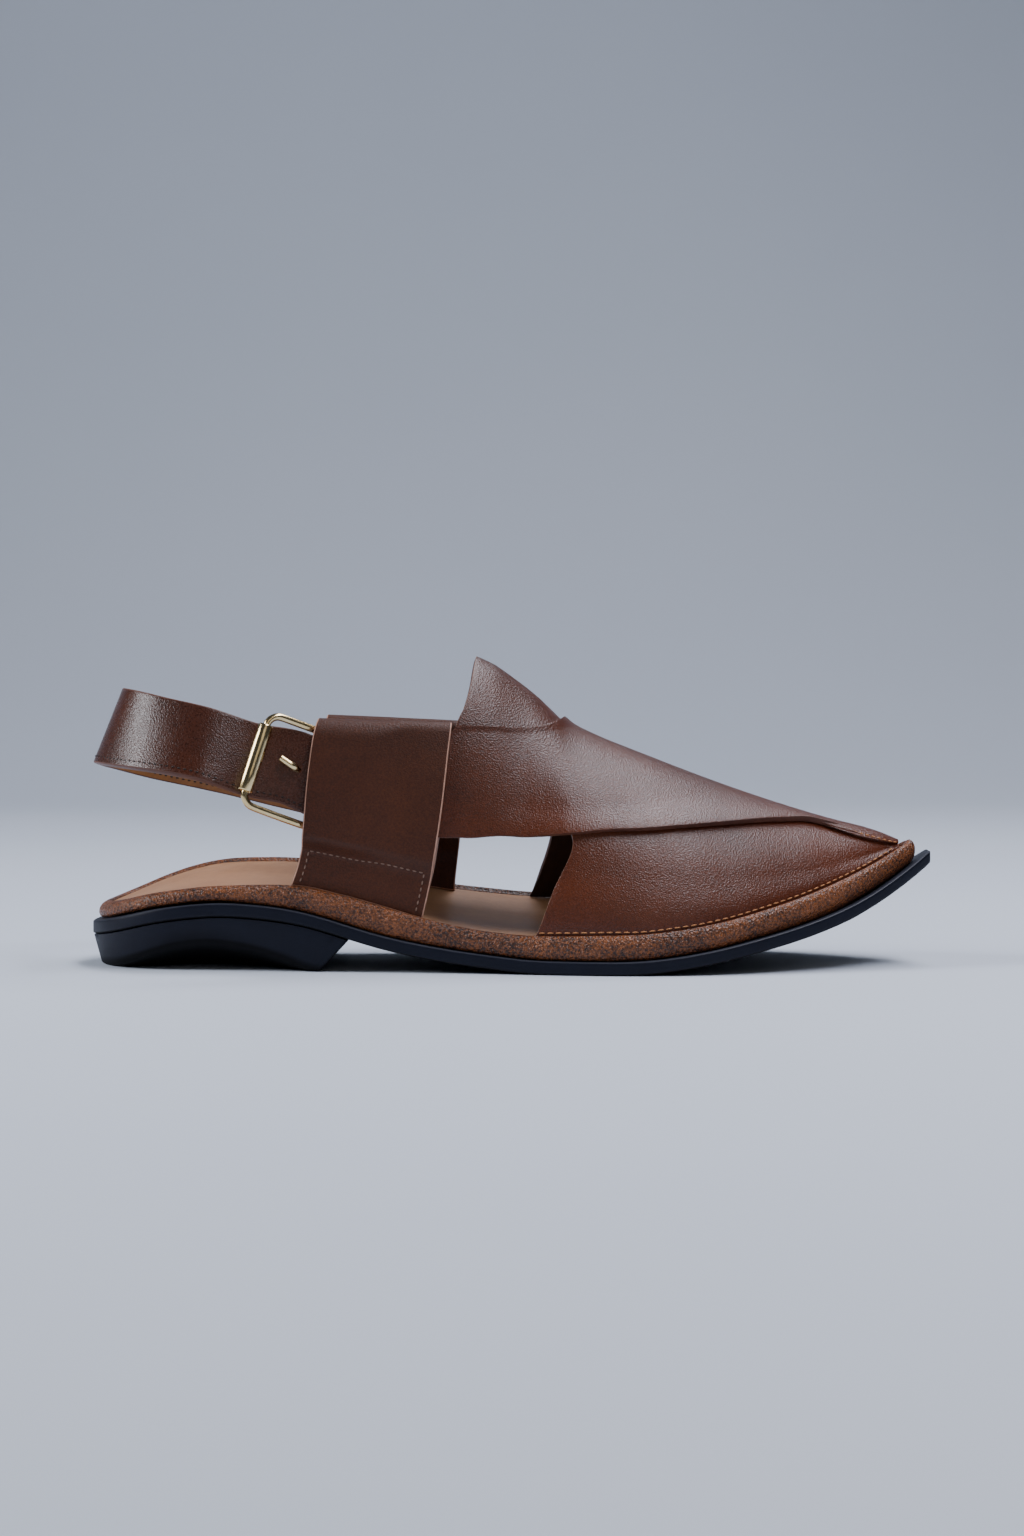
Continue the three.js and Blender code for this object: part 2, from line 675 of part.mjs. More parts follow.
// One broad strap of the upper, between its rear and front edges on the last
function strapGeometry(edges, depthAt) {
  const columns = 34;
  const rows = 14;
  const line = (edge, column) => curve(edge, column, 'along');
  const [rearAt, rearAround] = [line(edges.rear, 'at'), line(edges.rear, 'around')];
  const [frontAt, frontAround] = [line(edges.front, 'at'), line(edges.front, 'around')];
  const faceAt = (layer) => (along, across) => {
    const x = soleLength * THREE.MathUtils.lerp(rearAt(along), frontAt(along), across);
    const around = THREE.MathUtils.lerp(rearAround(along), frontAround(along), across);
    const scale = wallScaleAt(x);
    return skinPoint(x, around, -scale * (depthAt(around) + layer * strapWall));
  };
  return sheetGeometry(columns, rows, faceAt(0), faceAt(1));
}

// Upper: the under strap runs from the outer sole edge to the inner loop, the over strap from the
// inner sole edge to the outer loop, and they are one piece where they cross
function makeUpper() {
  const under = strapGeometry(UNDER_STRAP, (around) => underDepth * smoothStep(0.02, 0.14, around));
  const over = strapGeometry(OVER_STRAP, () => 0);
  return fromSolid(toSolid(under).add(toSolid(over)));
}

// Solid between two stacks of closed loops, the inner one being a tunnel right through
function tunnelGeometry(stack) {
  const points = [...stack.flatMap((layer) => layer.outer), ...stack.flatMap((layer) => layer.inner)];
  const faces = [];
  const wall = (first, count, layers, flip) => {
    for (let r = 0; r < layers - 1; r += 1) {
      for (let i = 0; i < count; i += 1) {
        const next = (i + 1) % count;
        const [a, b] = [first + r * count + i, first + r * count + next];
        if (flip) faces.push([a, b + count, b], [a, a + count, b + count]);
        else faces.push([a, b, b + count], [a, b + count, a + count]);
      }
    }
  };
  const outerCount = stack[0].outer.length;
  const innerCount = stack[0].inner.length;
  const innerFirst = stack.length * outerCount;
  wall(0, outerCount, stack.length, false);
  wall(innerFirst, innerCount, stack.length, true);
  const cap = (layer, turned) => {
    const [outer, inner] = [stack[layer].outer, stack[layer].inner].map((loop) =>
      loop.map((point) => new THREE.Vector2(point.y, point.z)));
    const rising = THREE.ShapeUtils.area(outer) > 0;
    for (const triangle of THREE.ShapeUtils.triangulateShape(outer, [inner])) {
      const [a, b, c] = triangle.map((i) => (i < outerCount
        ? layer * outerCount + i
        : innerFirst + layer * innerCount + i - outerCount));
      faces.push(turned === rising ? [a, c, b] : [a, b, c]);
    }
  };
  cap(0, true);
  cap(stack.length - 1, false);
  return closedGeometry(points, faces);
}

// Clear room inside a side loop, as offsets from the last: wide at the rear for the heel strap and the
// buckle bar, narrow at the front for the broad strap
const HEEL_STRAP_SKIVED = heelStrapWall * HEEL_STRAP[0].wall;
const PRONG_EYE_BORE = buckleWire / 2 + clearance;
const PRONG_EYE_RADIUS = PRONG_EYE_BORE + prongEyeWall;
const BAR_TO_STRAP = PRONG_EYE_RADIUS + clearance + HEEL_STRAP_SKIVED / 2;
const ROLLER_TO_STRAP = rollerDiameter / 2 + 3 * clearance + loopSlack + HEEL_STRAP_SKIVED / 2;
const OUTER_ROOM = {
  side: -1,
  edges: OUTER_LOOP,
  face: 0,
  rise: outerLoopPuff + loopSlack,
  sink: clearance + PRONG_EYE_RADIUS + BAR_TO_STRAP + HEEL_STRAP_SKIVED / 2 - outerLoopPuff + 2 * loopSlack,
};
const INNER_ROOM = {
  side: 1,
  edges: INNER_LOOP,
  face: -underDepth,
  rise: innerLoopPuff + loopSlack,
  sink: heelStrapWall + 2 * clearance - innerLoopPuff + loopSlack,
};

function roomAt(room, across) {
  const wide = 1 - smoothStep(0.38, 0.68, across);
  return {
    high: room.face + 2 * clearance + wide * room.rise,
    low: room.face - THREE.MathUtils.lerp(strapWall + 2 * clearance, room.sink, wide),
  };
}

// Side loop: a strip of leather folded over the strap ends, its two sheets sewn together at the foot
function makeSideLoop(room) {
  const layers = 9;
  const seam = 0.2;
  const open = 0.31;
  const foldSteps = 6;
  const heights = [0, 0.07, seam, 0.255, open, 0.42, 0.53, 0.64, 0.75, 0.85];
  const rearAt = curve(room.edges, 'rear', 'height');
  const frontAt = curve(room.edges, 'front', 'height');
  const foot = 0.27;
  const frontTop = 0.98;
  const sectionAt = (across) => {
    const { high, low } = roomAt(room, across);
    const spread = (height) => smoothStep(seam, open, height);
    const outside = (height) => THREE.MathUtils.lerp(0, high + loopSheet, spread(height));
    const inside = (height) => THREE.MathUtils.lerp(-2 * loopSheet, low - loopSheet, spread(height));
    const middle = (high + low) / 2;
    const arc = (radius, top, drop) => Array.from({ length: foldSteps + 1 }, (_, i) => {
      const turn = (Math.PI * i) / foldSteps;
      return new THREE.Vector2(top - drop * (1 - Math.sin(turn)), middle + radius * Math.cos(turn));
    });
    const half = (high - low) / 2;
    const reach = loopTop - featherPoint(soleLength * rearAt(0), room.side).z;
    const outer = [
      ...heights.map((height) => new THREE.Vector2(height, outside(height))),
      ...arc(half + loopSheet, 1, (half + loopSheet) / reach),
      ...heights.slice().reverse().map((height) => new THREE.Vector2(height, inside(height))),
    ];
    const sleeve = heights.filter((height) => height >= open);
    const inner = [
      new THREE.Vector2(foot, middle + 0.25 * half),
      ...sleeve.map((height) => new THREE.Vector2(height, high)),
      ...arc(half, 1 - loopSheet / reach, half / reach),
      ...sleeve.slice().reverse().map((height) => new THREE.Vector2(height, low)),
      new THREE.Vector2(foot, middle - 0.25 * half),
    ];
    return { outer, inner };
  };
  const place = (across) => (point) => {
    const height = Math.min(point.x, 1);
    const x = soleLength * THREE.MathUtils.lerp(rearAt(height), frontAt(height), across);
    const base = featherPoint(x, room.side).z;
    const z = THREE.MathUtils.lerp(base, loopTop * THREE.MathUtils.lerp(1, frontTop, across), height);
    return skinPoint(x, aroundAt(x, z, room.side), point.y);
  };
  const stack = Array.from({ length: layers }, (_, i) => {
    const across = i / (layers - 1);
    const { outer, inner } = sectionAt(across);
    return { outer: outer.map(place(across)), inner: inner.map(place(across)) };
  });
  return tunnelGeometry(stack);
}

// Middle line of the heel strap with its upward direction, from the outer loop to the inner loop
function heelStrapPath() {
  const rows = HEEL_STRAP.map((row) => {
    const lean = THREE.MathUtils.degToRad(row.lean);
    const centre = new THREE.Vector3(
      soleLength * row.at,
      heelStrapSpan * row.side,
      loopTop * row.loop + heelStrapHeight * row.back,
    );
    const inward = new THREE.Vector3(soleLength * 0.16, 0, 0).sub(new THREE.Vector3(centre.x, centre.y, 0));
    if (Math.abs(inward.x) < Math.abs(inward.y)) inward.x *= 0.4;
    inward.normalize().multiplyScalar(Math.sin(lean));
    const up = new THREE.Vector3(0, 0, Math.cos(lean)).add(inward);
    return { centre, up, width: row.width, wall: row.wall };
  });
  const heldRow = (room, wall) => ({ at, loop }) => {
    const x = soleLength * at;
    const z = loopTop * loop;
    const probe = heelStrapWidth / 6;
    const offset = roomAt(room, 0).high - 2 * clearance - loopSlack - (heelStrapWall * wall) / 2;
    const [high, low] = [z + probe, z - probe].map((level) => skinPoint(x, aroundAt(x, level, room.side), 0));
    return { centre: skinPoint(x, aroundAt(x, z, room.side), offset), up: high.sub(low).normalize(), width: 1, wall };
  };
  const all = [
    ...HELD_ENDS.outer.map(heldRow(OUTER_ROOM, HEEL_STRAP[0].wall)),
    ...rows,
    ...HELD_ENDS.inner.map(heldRow(INNER_ROOM, 1)),
  ];
  const centres = new THREE.CatmullRomCurve3(all.map((row) => row.centre), false, 'centripetal');
  const ups = new THREE.CatmullRomCurve3(all.map((row) => row.up), false, 'catmullrom');
  const sizes = new THREE.CatmullRomCurve3(
    all.map((row) => new THREE.Vector3(row.width, row.wall, 0)), false, 'catmullrom');
  return (t) => {
    const centre = centres.getPoint(t);
    const forward = centres.getTangent(t);
    const up = ups.getPoint(t);
    up.addScaledVector(forward, -up.dot(forward)).normalize();
    const out = new THREE.Vector3().crossVectors(up, forward).normalize();
    const size = sizes.getPoint(t);
    return { centre, forward, up, out, width: size.x * heelStrapWidth, wall: size.y * heelStrapWall };
  };
}

const strapFrameAt = heelStrapPath();

// Station on the heel strap, on its outer side, that lies at a place along the sole
function strapStationAt(x) {
  let [low, high] = [0, 0.35];
  for (let i = 0; i < 40; i += 1) {
    const middle = (low + high) / 2;
    if (strapFrameAt(middle).centre.x > x) low = middle;
    else high = middle;
  }
  return strapFrameAt((low + high) / 2);
}

// Buckle: its frame runs over the strap at the roller and under it at the bar
const ROLLER_SHARE = 0.201;
const BAR_SHARE = 0.2875;
const buckle = (() => {
  const atRoller = strapStationAt(soleLength * ROLLER_SHARE);
  const atBar = strapStationAt(soleLength * BAR_SHARE);
  const roller = atRoller.centre.clone().addScaledVector(atRoller.out, ROLLER_TO_STRAP);
  const bar = atBar.centre.clone().addScaledVector(atBar.out, -BAR_TO_STRAP);
  roller.addScaledVector(atRoller.up, -buckleDrop);
  bar.addScaledVector(atBar.up, -buckleDrop);
  const along = bar.clone().sub(roller);
  const length = along.length();
  along.normalize();
  const up = atRoller.up.clone().add(atBar.up);
  up.addScaledVector(along, -up.dot(along)).normalize();
  const out = new THREE.Vector3().crossVectors(along, up).normalize();
  if (out.dot(atRoller.out) < 0) out.negate();
  return { roller, bar, along, up, out, length };
})();

// Solid swept from closed sections, open at both ends or joined into a ring
function sweptGeometry(sections, ring) {
  const size = sections[0].length;
  const points = sections.flat();
  const faces = [];
  const count = sections.length;
  for (let s = 0; s < (ring ? count : count - 1); s += 1) {
    const after = (s + 1) % count;
    for (let i = 0; i < size; i += 1) {
      const next = (i + 1) % size;
      const [a, b] = [s * size + i, s * size + next];
      const [c, d] = [after * size + next, after * size + i];
      faces.push([a, b, c], [a, c, d]);
    }
  }
  if (!ring) {
    const last = (count - 1) * size;
    for (let i = 1; i < size - 1; i += 1) {
      faces.push([0, i + 1, i], [last, last + i, last + i + 1]);
    }
  }
  return closedGeometry(points, faces);
}

function circleSection(centre, sideways, upwards, radius, sides) {
  return Array.from({ length: sides }, (_, i) => {
    const turn = (2 * Math.PI * i) / sides;
    return centre.clone()
      .addScaledVector(sideways, radius * Math.cos(turn))
      .addScaledVector(upwards, radius * Math.sin(turn));
  });
}

// Heel strap with softened edges and the hole that the prong comes through
function makeHeelStrap() {
  const stations = 46;
  const edge = 0.3;
  const sections = Array.from({ length: stations }, (_, i) => {
    const { centre, up, out, width, wall } = strapFrameAt(i / (stations - 1));
    const corners = [
      [width / 2 - edge, wall / 2], [width / 2, wall / 2 - edge],
      [width / 2, edge - wall / 2], [width / 2 - edge, -wall / 2],
      [edge - width / 2, -wall / 2], [-width / 2, edge - wall / 2],
      [-width / 2, wall / 2 - edge], [edge - width / 2, wall / 2],
    ];
    return corners.map(([high, thick]) =>
      centre.clone().addScaledVector(up, high).addScaledVector(out, thick));
  });
  const strap = toSolid(sweptGeometry(sections, false));
  const { centre, out, up } = strapStationAt(buckle.bar.x - prongHoleReach);
  const forward = new THREE.Vector3().crossVectors(out, up).normalize();
  const hole = [-heelStrapWall, heelStrapWall].map((reach) => Array.from({ length: 12 }, (_, i) => {
    const turn = (2 * Math.PI * i) / 12;
    return centre.clone().addScaledVector(out, reach)
      .addScaledVector(forward, 0.5 * prongHoleLength * Math.cos(turn))
      .addScaledVector(up, (0.5 * prongDiameter + prongPlay) * Math.sin(turn));
  }));
  return fromSolid(strap.subtract(toSolid(sweptGeometry(hole, false))));
}

function makeBuckleFrame() {
  const { roller, along, up, out, length } = buckle;
  const radius = buckleCorner - buckleWire / 2;
  const halfHeight = buckleInner / 2 + buckleWire / 2;
  const cornerSteps = 5;
  const corners = [
    { x: length - radius, y: halfHeight - radius },
    { x: radius, y: halfHeight - radius },
    { x: radius, y: radius - halfHeight },
    { x: length - radius, y: radius - halfHeight },
  ];
  const sections = corners.flatMap((corner, c) => Array.from({ length: cornerSteps + 1 }, (_, i) => {
    const turn = Math.PI * (0.5 * c + (0.5 * i) / cornerSteps);
    const sideways = along.clone().multiplyScalar(Math.cos(turn)).addScaledVector(up, Math.sin(turn));
    const centre = roller.clone()
      .addScaledVector(along, corner.x + radius * Math.cos(turn))
      .addScaledVector(up, corner.y + radius * Math.sin(turn));
    return circleSection(centre, sideways, out, buckleWire / 2, 10);
  }));
  return sweptGeometry(sections, true);
}

function makeBuckleRoller() {
  const bore = buckleWire / 2 + clearance;
  const radius = rollerDiameter / 2;
  const half = rollerLength / 2;
  const profile = [[bore, -half], [radius, -half], [radius, half], [bore, half], [bore, -half]];
  const geometry = new THREE.LatheGeometry(profile.map(([r, y]) => new THREE.Vector2(r, y)), 18);
  const { roller, along, up, out } = buckle;
  const place = new THREE.Matrix4().makeBasis(along, up, out);
  if (place.determinant() < 0) place.makeBasis(along.clone().negate(), up, out);
  return geometry.applyMatrix4(place.setPosition(roller));
}

// Prong: an eye round the bar, and a shank that comes out through the strap's hole towards the roller
function makeBuckleProng() {
  const { bar, along, up, out } = buckle;
  const back = along.clone().negate();
  const eyeProfile = [
    [PRONG_EYE_BORE, -prongEyeWidth / 2], [PRONG_EYE_RADIUS, -prongEyeWidth / 2],
    [PRONG_EYE_RADIUS, prongEyeWidth / 2], [PRONG_EYE_BORE, prongEyeWidth / 2], [PRONG_EYE_BORE, -prongEyeWidth / 2],
  ];
  const eye = new THREE.LatheGeometry(eyeProfile.map(([r, y]) => new THREE.Vector2(r, y)), 20);
  const place = new THREE.Matrix4().makeBasis(along, up, out);
  if (place.determinant() < 0) place.makeBasis(back, up, out);
  eye.applyMatrix4(place.setPosition(bar));
  const hole = strapStationAt(bar.x - prongHoleReach);
  const lie = HEEL_STRAP_SKIVED / 2 + clearance + prongDiameter / 2;
  const rest = (reach, lift, raise) => {
    const station = strapStationAt(bar.x - reach * prongHoleReach);
    return station.centre.clone()
      .addScaledVector(station.out, lift * lie)
      .addScaledVector(station.up, raise * prongDiameter);
  };
  const stem = bar.clone().addScaledVector(back, 0.72 * PRONG_EYE_RADIUS)
    .addScaledVector(out, 0.3 * PRONG_EYE_RADIUS);
  const path = new THREE.CatmullRomCurve3([
    stem,
    rest(0.524, -1, 0),
    rest(0.8, -0.92, 0),
    hole.centre.clone(),
    rest(1.18, 0.92, 0.1),
    rest(1.39, 1, 0.36),
    rest(1.638, 1, 0.77),
  ], false, 'centripetal');
  const steps = 16;
  const sections = Array.from({ length: steps + 1 }, (_, i) => {
    const t = i / steps;
    const forward = path.getTangent(t);
    const sideways = up.clone().addScaledVector(forward, -up.dot(forward)).normalize();
    const normal = new THREE.Vector3().crossVectors(sideways, forward).normalize();
    return circleSection(path.getPoint(t), sideways, normal, prongDiameter / 2, 8);
  });
  const barHole = [-prongEyeWidth, prongEyeWidth].map((reach) =>
    circleSection(bar.clone().addScaledVector(up, reach), along, out, PRONG_EYE_BORE, 20));
  const shank = toSolid(sweptGeometry(sections, false)).subtract(toSolid(sweptGeometry(barHole, false)));
  return fromSolid(toSolid(eye).add(shank));
}

// Finishes
const blackRubber = { color: 0x14141f, roughness: 0.55, metalness: 0 };
const randLeather = { color: 0x6a3c22, roughness: 0.6, metalness: 0 };
const tanLeather = { color: 0xb08262, roughness: 0.5, metalness: 0 };
const upperLeather = { color: 0x4e2a1a, roughness: 0.42, metalness: 0 };
const loopLeather = { color: 0x3f2114, roughness: 0.5, metalness: 0 };
const paleGold = { color: 0xc9b582, roughness: 0.25, metalness: 1 };

const chappal = new THREE.Group();
chappal.position.x = -heelRestShare * soleLength;

const PIECES = [
  ['heel', makeHeel, blackRubber],
  ['outsole', makeOutsole, blackRubber],
  ['midsole', makeMidsole, randLeather],
  ['insole', makeInsole, tanLeather],
  ['upper', makeUpper, upperLeather],
  ['side_loop_lateral', () => makeSideLoop(OUTER_ROOM), loopLeather],
  ['side_loop_medial', () => makeSideLoop(INNER_ROOM), loopLeather],
  ['heel_strap', makeHeelStrap, upperLeather],
  ['buckle_frame', makeBuckleFrame, paleGold],
  ['buckle_roller', makeBuckleRoller, paleGold],
  ['buckle_prong', makeBuckleProng, paleGold],
];
for (const [name, make, finish] of PIECES) {
  const mesh = new THREE.Mesh(make(), new THREE.MeshStandardMaterial(finish));
  mesh.name = name;
  chappal.add(mesh);
}

export default chappal;
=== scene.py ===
import math

import bpy
from mathutils import Matrix, Vector


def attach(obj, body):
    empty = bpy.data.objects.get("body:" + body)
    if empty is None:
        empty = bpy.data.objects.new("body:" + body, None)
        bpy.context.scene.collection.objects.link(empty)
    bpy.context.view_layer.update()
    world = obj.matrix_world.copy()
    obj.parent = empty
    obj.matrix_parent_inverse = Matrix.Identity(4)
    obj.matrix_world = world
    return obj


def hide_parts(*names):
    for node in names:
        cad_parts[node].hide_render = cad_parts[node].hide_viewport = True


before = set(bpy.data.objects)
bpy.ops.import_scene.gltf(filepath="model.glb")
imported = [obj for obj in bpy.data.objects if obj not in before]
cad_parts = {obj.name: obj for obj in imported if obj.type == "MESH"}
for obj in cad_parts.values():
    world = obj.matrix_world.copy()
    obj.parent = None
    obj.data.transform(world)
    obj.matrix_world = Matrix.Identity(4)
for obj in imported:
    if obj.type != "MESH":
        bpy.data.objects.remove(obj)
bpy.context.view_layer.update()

MM = 0.001

# The camera stands level with the instep, 1.2 m from the outer side of the shoe, and looks a little
# down along +Y, as in the photograph.
CAMERA_PLACE = (0.1036, -1.2, 0.1155)
CAMERA_DIP = math.radians(2.235)
CAMERA_LENS = 79.6
bpy.ops.object.select_all(action="DESELECT")
bpy.ops.object.camera_add(location=CAMERA_PLACE, rotation=(math.pi / 2 - CAMERA_DIP, 0, 0))
camera = bpy.context.object
camera.data.lens = CAMERA_LENS
camera.data.clip_start = 0.01
bpy.context.scene.camera = camera


# Materials are written as sums of wires between their shader nodes.
class Wire:
    """A value on its way between shader nodes: sums add Math nodes, node() adds any other."""

    def __init__(self, tree, socket=None):
        self.tree = tree
        self.socket = socket

    def node(self, kind, inputs, output=0, **settings):
        made = self.tree.nodes.new("ShaderNode" + kind)
        for name, value in settings.items():
            setattr(made, name, value)
        for key, value in inputs.items():
            if isinstance(value, Wire):
                self.tree.links.new(value.socket, made.inputs[key])
            else:
                made.inputs[key].default_value = value
        return Wire(self.tree, made.outputs[output])

    def __add__(self, other):
        return self.node("Math", {0: self, 1: other}, operation="ADD")

    __radd__ = __add__

    def __mul__(self, other):
        return self.node("Math", {0: self, 1: other}, operation="MULTIPLY")

    __rmul__ = __mul__

    def __sub__(self, other):
        return self.node("Math", {0: self, 1: other}, operation="SUBTRACT")

    def __rsub__(self, other):
        return self.node("Math", {0: other, 1: self}, operation="SUBTRACT")

    def step(self, low, high):
        return self.node("MapRange", {"Value": self, "From Min": low, "From Max": high},
                         interpolation_type="SMOOTHSTEP")

    def tint(self, low, high):
        """Colour that runs from low to high as this value runs from 0 to 1."""
        return self.node("Mix", {0: self, 6: low, 7: high}, output=2, data_type="RGBA")

    def noise(self, scale, detail=3.0, rough=0.5, stretch=(1, 1, 1)):
        place = self.node("Mapping", {"Vector": self.place(), "Scale": stretch})
        return self.node("TexNoise", {"Vector": place, "Scale": scale, "Detail": detail,
                                      "Roughness": rough})

    def cells(self, scale, feature="F1"):
        return self.node("TexVoronoi", {"Vector": self.place(), "Scale": scale}, feature=feature)

    def place(self):
        return self.node("TexCoord", {}, output=3)

    def bump(self, height, depth, strength=1.0):
        return self.node("Bump", {"Height": height, "Distance": depth, "Strength": strength})


def finish(name, metallic=0.0, coat=0.0, coat_roughness=0.2, specular=0.5):
    """New material with its shader and a first wire in it."""
    material = bpy.data.materials.new(name)
    material.use_nodes = True
    shader = material.node_tree.nodes["Principled BSDF"]
    shader.inputs["Metallic"].default_value = metallic
    shader.inputs["Coat Weight"].default_value = coat
    shader.inputs["Coat Roughness"].default_value = coat_roughness
    shader.inputs["Specular IOR Level"].default_value = specular
    return material, shader, Wire(material.node_tree)


def feed(shader, wire, **values):
    """Links the wires to the shader's sockets of those names, with _ for a space."""
    for key, value in values.items():
        socket = shader.inputs[key.replace("_", " ")]
        if isinstance(value, Wire):
            wire.tree.links.new(value.socket, socket)
        else:
            socket.default_value = value


# The floor is one pale sheet that curves up behind the shoe into a plain backdrop, so that no line
# shows between them. Its paint is matt, with the faintest unevenness.
FLOOR_WIDTH = 6.0
FLOOR_NEAR = -2.2
SWEEP_START = 1.1
SWEEP_RADIUS = 0.9
BACKDROP_TOP = 3.2
SWEEP_STEPS = 24

bpy.ops.object.select_all(action="DESELECT")
bpy.ops.mesh.primitive_grid_add(x_subdivisions=2, y_subdivisions=SWEEP_STEPS + 2, size=1)
floor = bpy.context.object
floor.name = "floor"
rows = sorted({round(v.co.y, 5) for v in floor.data.vertices})
for v in floor.data.vertices:
    row = rows.index(round(v.co.y, 5))
    turn = (row - 1) / SWEEP_STEPS * math.pi / 2
    y, z = SWEEP_START + SWEEP_RADIUS * math.sin(turn), SWEEP_RADIUS * (1 - math.cos(turn))
    if row == 0:
        y, z = FLOOR_NEAR, 0
    if row == len(rows) - 1:
        y, z = SWEEP_START + SWEEP_RADIUS, BACKDROP_TOP
    v.co = (v.co.x * FLOOR_WIDTH, y, z)
bpy.ops.object.shade_smooth()
floor_paint, shader, wire = finish("floor_paint")
feed(shader, wire, Roughness=0.7,
     Base_Color=wire.noise(3, 2).tint((0.60, 0.66, 0.76, 1), (0.64, 0.70, 0.79, 1)))
floor.data.materials.append(floor_paint)


# Soft studio light: a box high on the left, behind the heel, a long one overhead that lies along
# the straps as a soft gloss, a weak warm one from the viewer's side, and the dim room.
def light_box(name, place, target, size, power, colour):
    aim = (Vector(target) - Vector(place)).to_track_quat("-Z", "Y").to_euler()
    bpy.ops.object.light_add(type="AREA", location=place, rotation=aim)
    lamp = bpy.context.object
    lamp.name = name
    lamp.data.shape = "RECTANGLE"
    lamp.data.size, lamp.data.size_y = size
    lamp.data.energy = power
    lamp.data.color = colour


light_box("light_left", (-1.2, -0.2, 0.75), (0.0, 0, 0.05), (0.6, 0.6), 17, (0.93, 0.95, 1.0))
light_box("light_overhead", (0.5, 0.06, 1.2), (0.12, 0, 0.04), (1.7, 0.38), 24, (0.92, 0.92, 1.0))
light_box("light_viewer", (0.5, -1.6, 0.9), (0.1, 0, 0.04), (0.9, 0.9), 2, (1.0, 0.93, 0.86))
room = bpy.data.worlds.new("room")
bpy.context.scene.world = room
room.use_nodes = True
glow = room.node_tree.nodes["Background"]
glow.inputs["Color"].default_value = (0.62, 0.68, 0.78, 1)
glow.inputs["Strength"].default_value = 0.07


# The heel lift is one block of black rubber, glued under the rear of the outsole. Its sides taper
# and are hollowed along their lower edge.
WELD = 0.01 * MM
EDGE_CREASE = 0.85
SUBDIVISIONS = 2


def smoothed_copy(node, sharp=30):
    """Copy of a CAD node in clean quads, rounded by subdivision.

    Edges that bend by more than sharp degrees stay creased."""
    bpy.ops.object.select_all(action="DESELECT")
    bpy.ops.mesh.primitive_plane_add()
    piece = bpy.context.object
    piece.name = node + "_visual"
    bare = piece.data
    piece.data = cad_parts[node].data.copy()
    piece.data.materials.clear()
    bpy.data.meshes.remove(bare)
    bpy.ops.object.mode_set(mode="EDIT")
    bpy.ops.mesh.select_all(action="SELECT")
    bpy.ops.mesh.remove_doubles(threshold=WELD)
    bpy.ops.mesh.tris_convert_to_quads(face_threshold=math.radians(40),
                                       shape_threshold=math.radians(60))
    bpy.ops.mesh.select_all(action="DESELECT")
    bpy.ops.mesh.select_mode(type="EDGE")
    bpy.ops.mesh.edges_select_sharp(sharpness=math.radians(sharp))
    bpy.ops.transform.edge_crease(value=EDGE_CREASE)
    bpy.ops.object.mode_set(mode="OBJECT")
    smoother = piece.modifiers.new("smoother", "SUBSURF")
    smoother.levels = smoother.render_levels = SUBDIVISIONS
    bpy.ops.object.modifier_apply(modifier="smoother")
    bpy.ops.object.shade_smooth_by_angle(angle=math.radians(40))
    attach(piece, "root")
    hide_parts(node)
    return piece


def rubber(name):
    """Black rubber with a blue cast, with a painted grey highlight where it faces up and painted shade
    underneath, where it is also rougher.
    """
    material, shader, wire = finish(name, specular=0.2)
    mottle = wire.noise(70, 5, 0.6)
    lines = wire.noise(160, 3, 0.5, stretch=(0.12, 0.12, 2.2))
    up = wire.node("SeparateXYZ", {0: wire.node("NewGeometry", {}, output=1)}, output=2)
    under = up.step(-0.15, -0.5)
    body = mottle.tint((0.003, 0.0035, 0.009, 1), (0.007, 0.009, 0.02, 1))
    # Painted shade: faces that look down are darkened to near black.
    body_shaded_below = under.tint(body, (0.0012, 0.0012, 0.0025, 1))
    # Painted highlight: faces that look up are tinted grey, as if catching the overhead light.
    colour = (up.step(0.3, 0.8) * 0.7).tint(body_shaded_below, (0.04, 0.045, 0.062, 1))
    feed(shader, wire, Base_Color=colour, Roughness=0.42 + 0.15 * mottle + under * 0.3,
         Normal=wire.bump(0.6 * lines + 0.4 * wire.noise(1400, 2), 0.00012, 0.6))
    return material


heel = smoothed_copy("heel")
heel.data.materials.append(rubber("heel_rubber"))


# The outsole is a cut sheet of the same rubber, 4.6 mm thick, which stands out all round under the
# platform and turns up at its small squared tip.
outsole = smoothed_copy("outsole")
outsole.data.materials.append(rubber("outsole_rubber"))


# The platform is a board wrapped in grained leather. Its puffed edge stands up round the insole.
def grained_leather(name, dark, light):
    """Pebbled leather: small cells with darker valleys, uneven dye and a broken gloss."""
    material, shader, wire = finish(name)
    pebble = wire.cells(1400, "SMOOTH_F1").step(0.05, 0.75)
    dye = wire.noise(1100, 4, 0.7)
    patch = wire.noise(45, 4, 0.55).step(0.3, 0.7)
    tone = dye.step(0.36, 0.64) * 0.65 + patch * 0.4 - pebble * 0.35
    feed(shader, wire, Base_Color=tone.tint(dark, light), Roughness=0.3 + 0.25 * pebble - 0.1 * dye,
         Normal=wire.bump(1 - pebble + 0.5 * wire.noise(2600, 2), 0.3 * MM, 0.9))
    return material


midsole = smoothed_copy("midsole", sharp=50)
midsole.data.materials.append(
    grained_leather("rand_leather", (0.026, 0.007, 0.003, 1), (0.33, 0.10, 0.024, 1)))


# The insole is a smooth tan leather footbed, glued into the recess of the platform. It has a fine
# grain and a soft sheen.
def smooth_leather(name, dark, light, roughness, coat):
    """Smooth leather: fine pores, clouds of dye and a soft gloss."""
    material, shader, wire = finish(name, coat=coat, coat_roughness=0.28)
    clouds = wire.noise(22, 4, 0.55).step(0.25, 0.75)
    fine = wire.noise(320, 6, 0.65)
    pores = wire.cells(1900).step(0.0, 0.45)
    tone = clouds * 0.6 + fine.step(0.3, 0.7) * 0.4
    feed(shader, wire, Base_Color=tone.tint(dark, light), Roughness=roughness + 0.16 * fine,
         Normal=wire.bump(0.5 * pores + 0.5 * wire.noise(900, 4, 0.6), 0.06 * MM, 0.8))
    return material


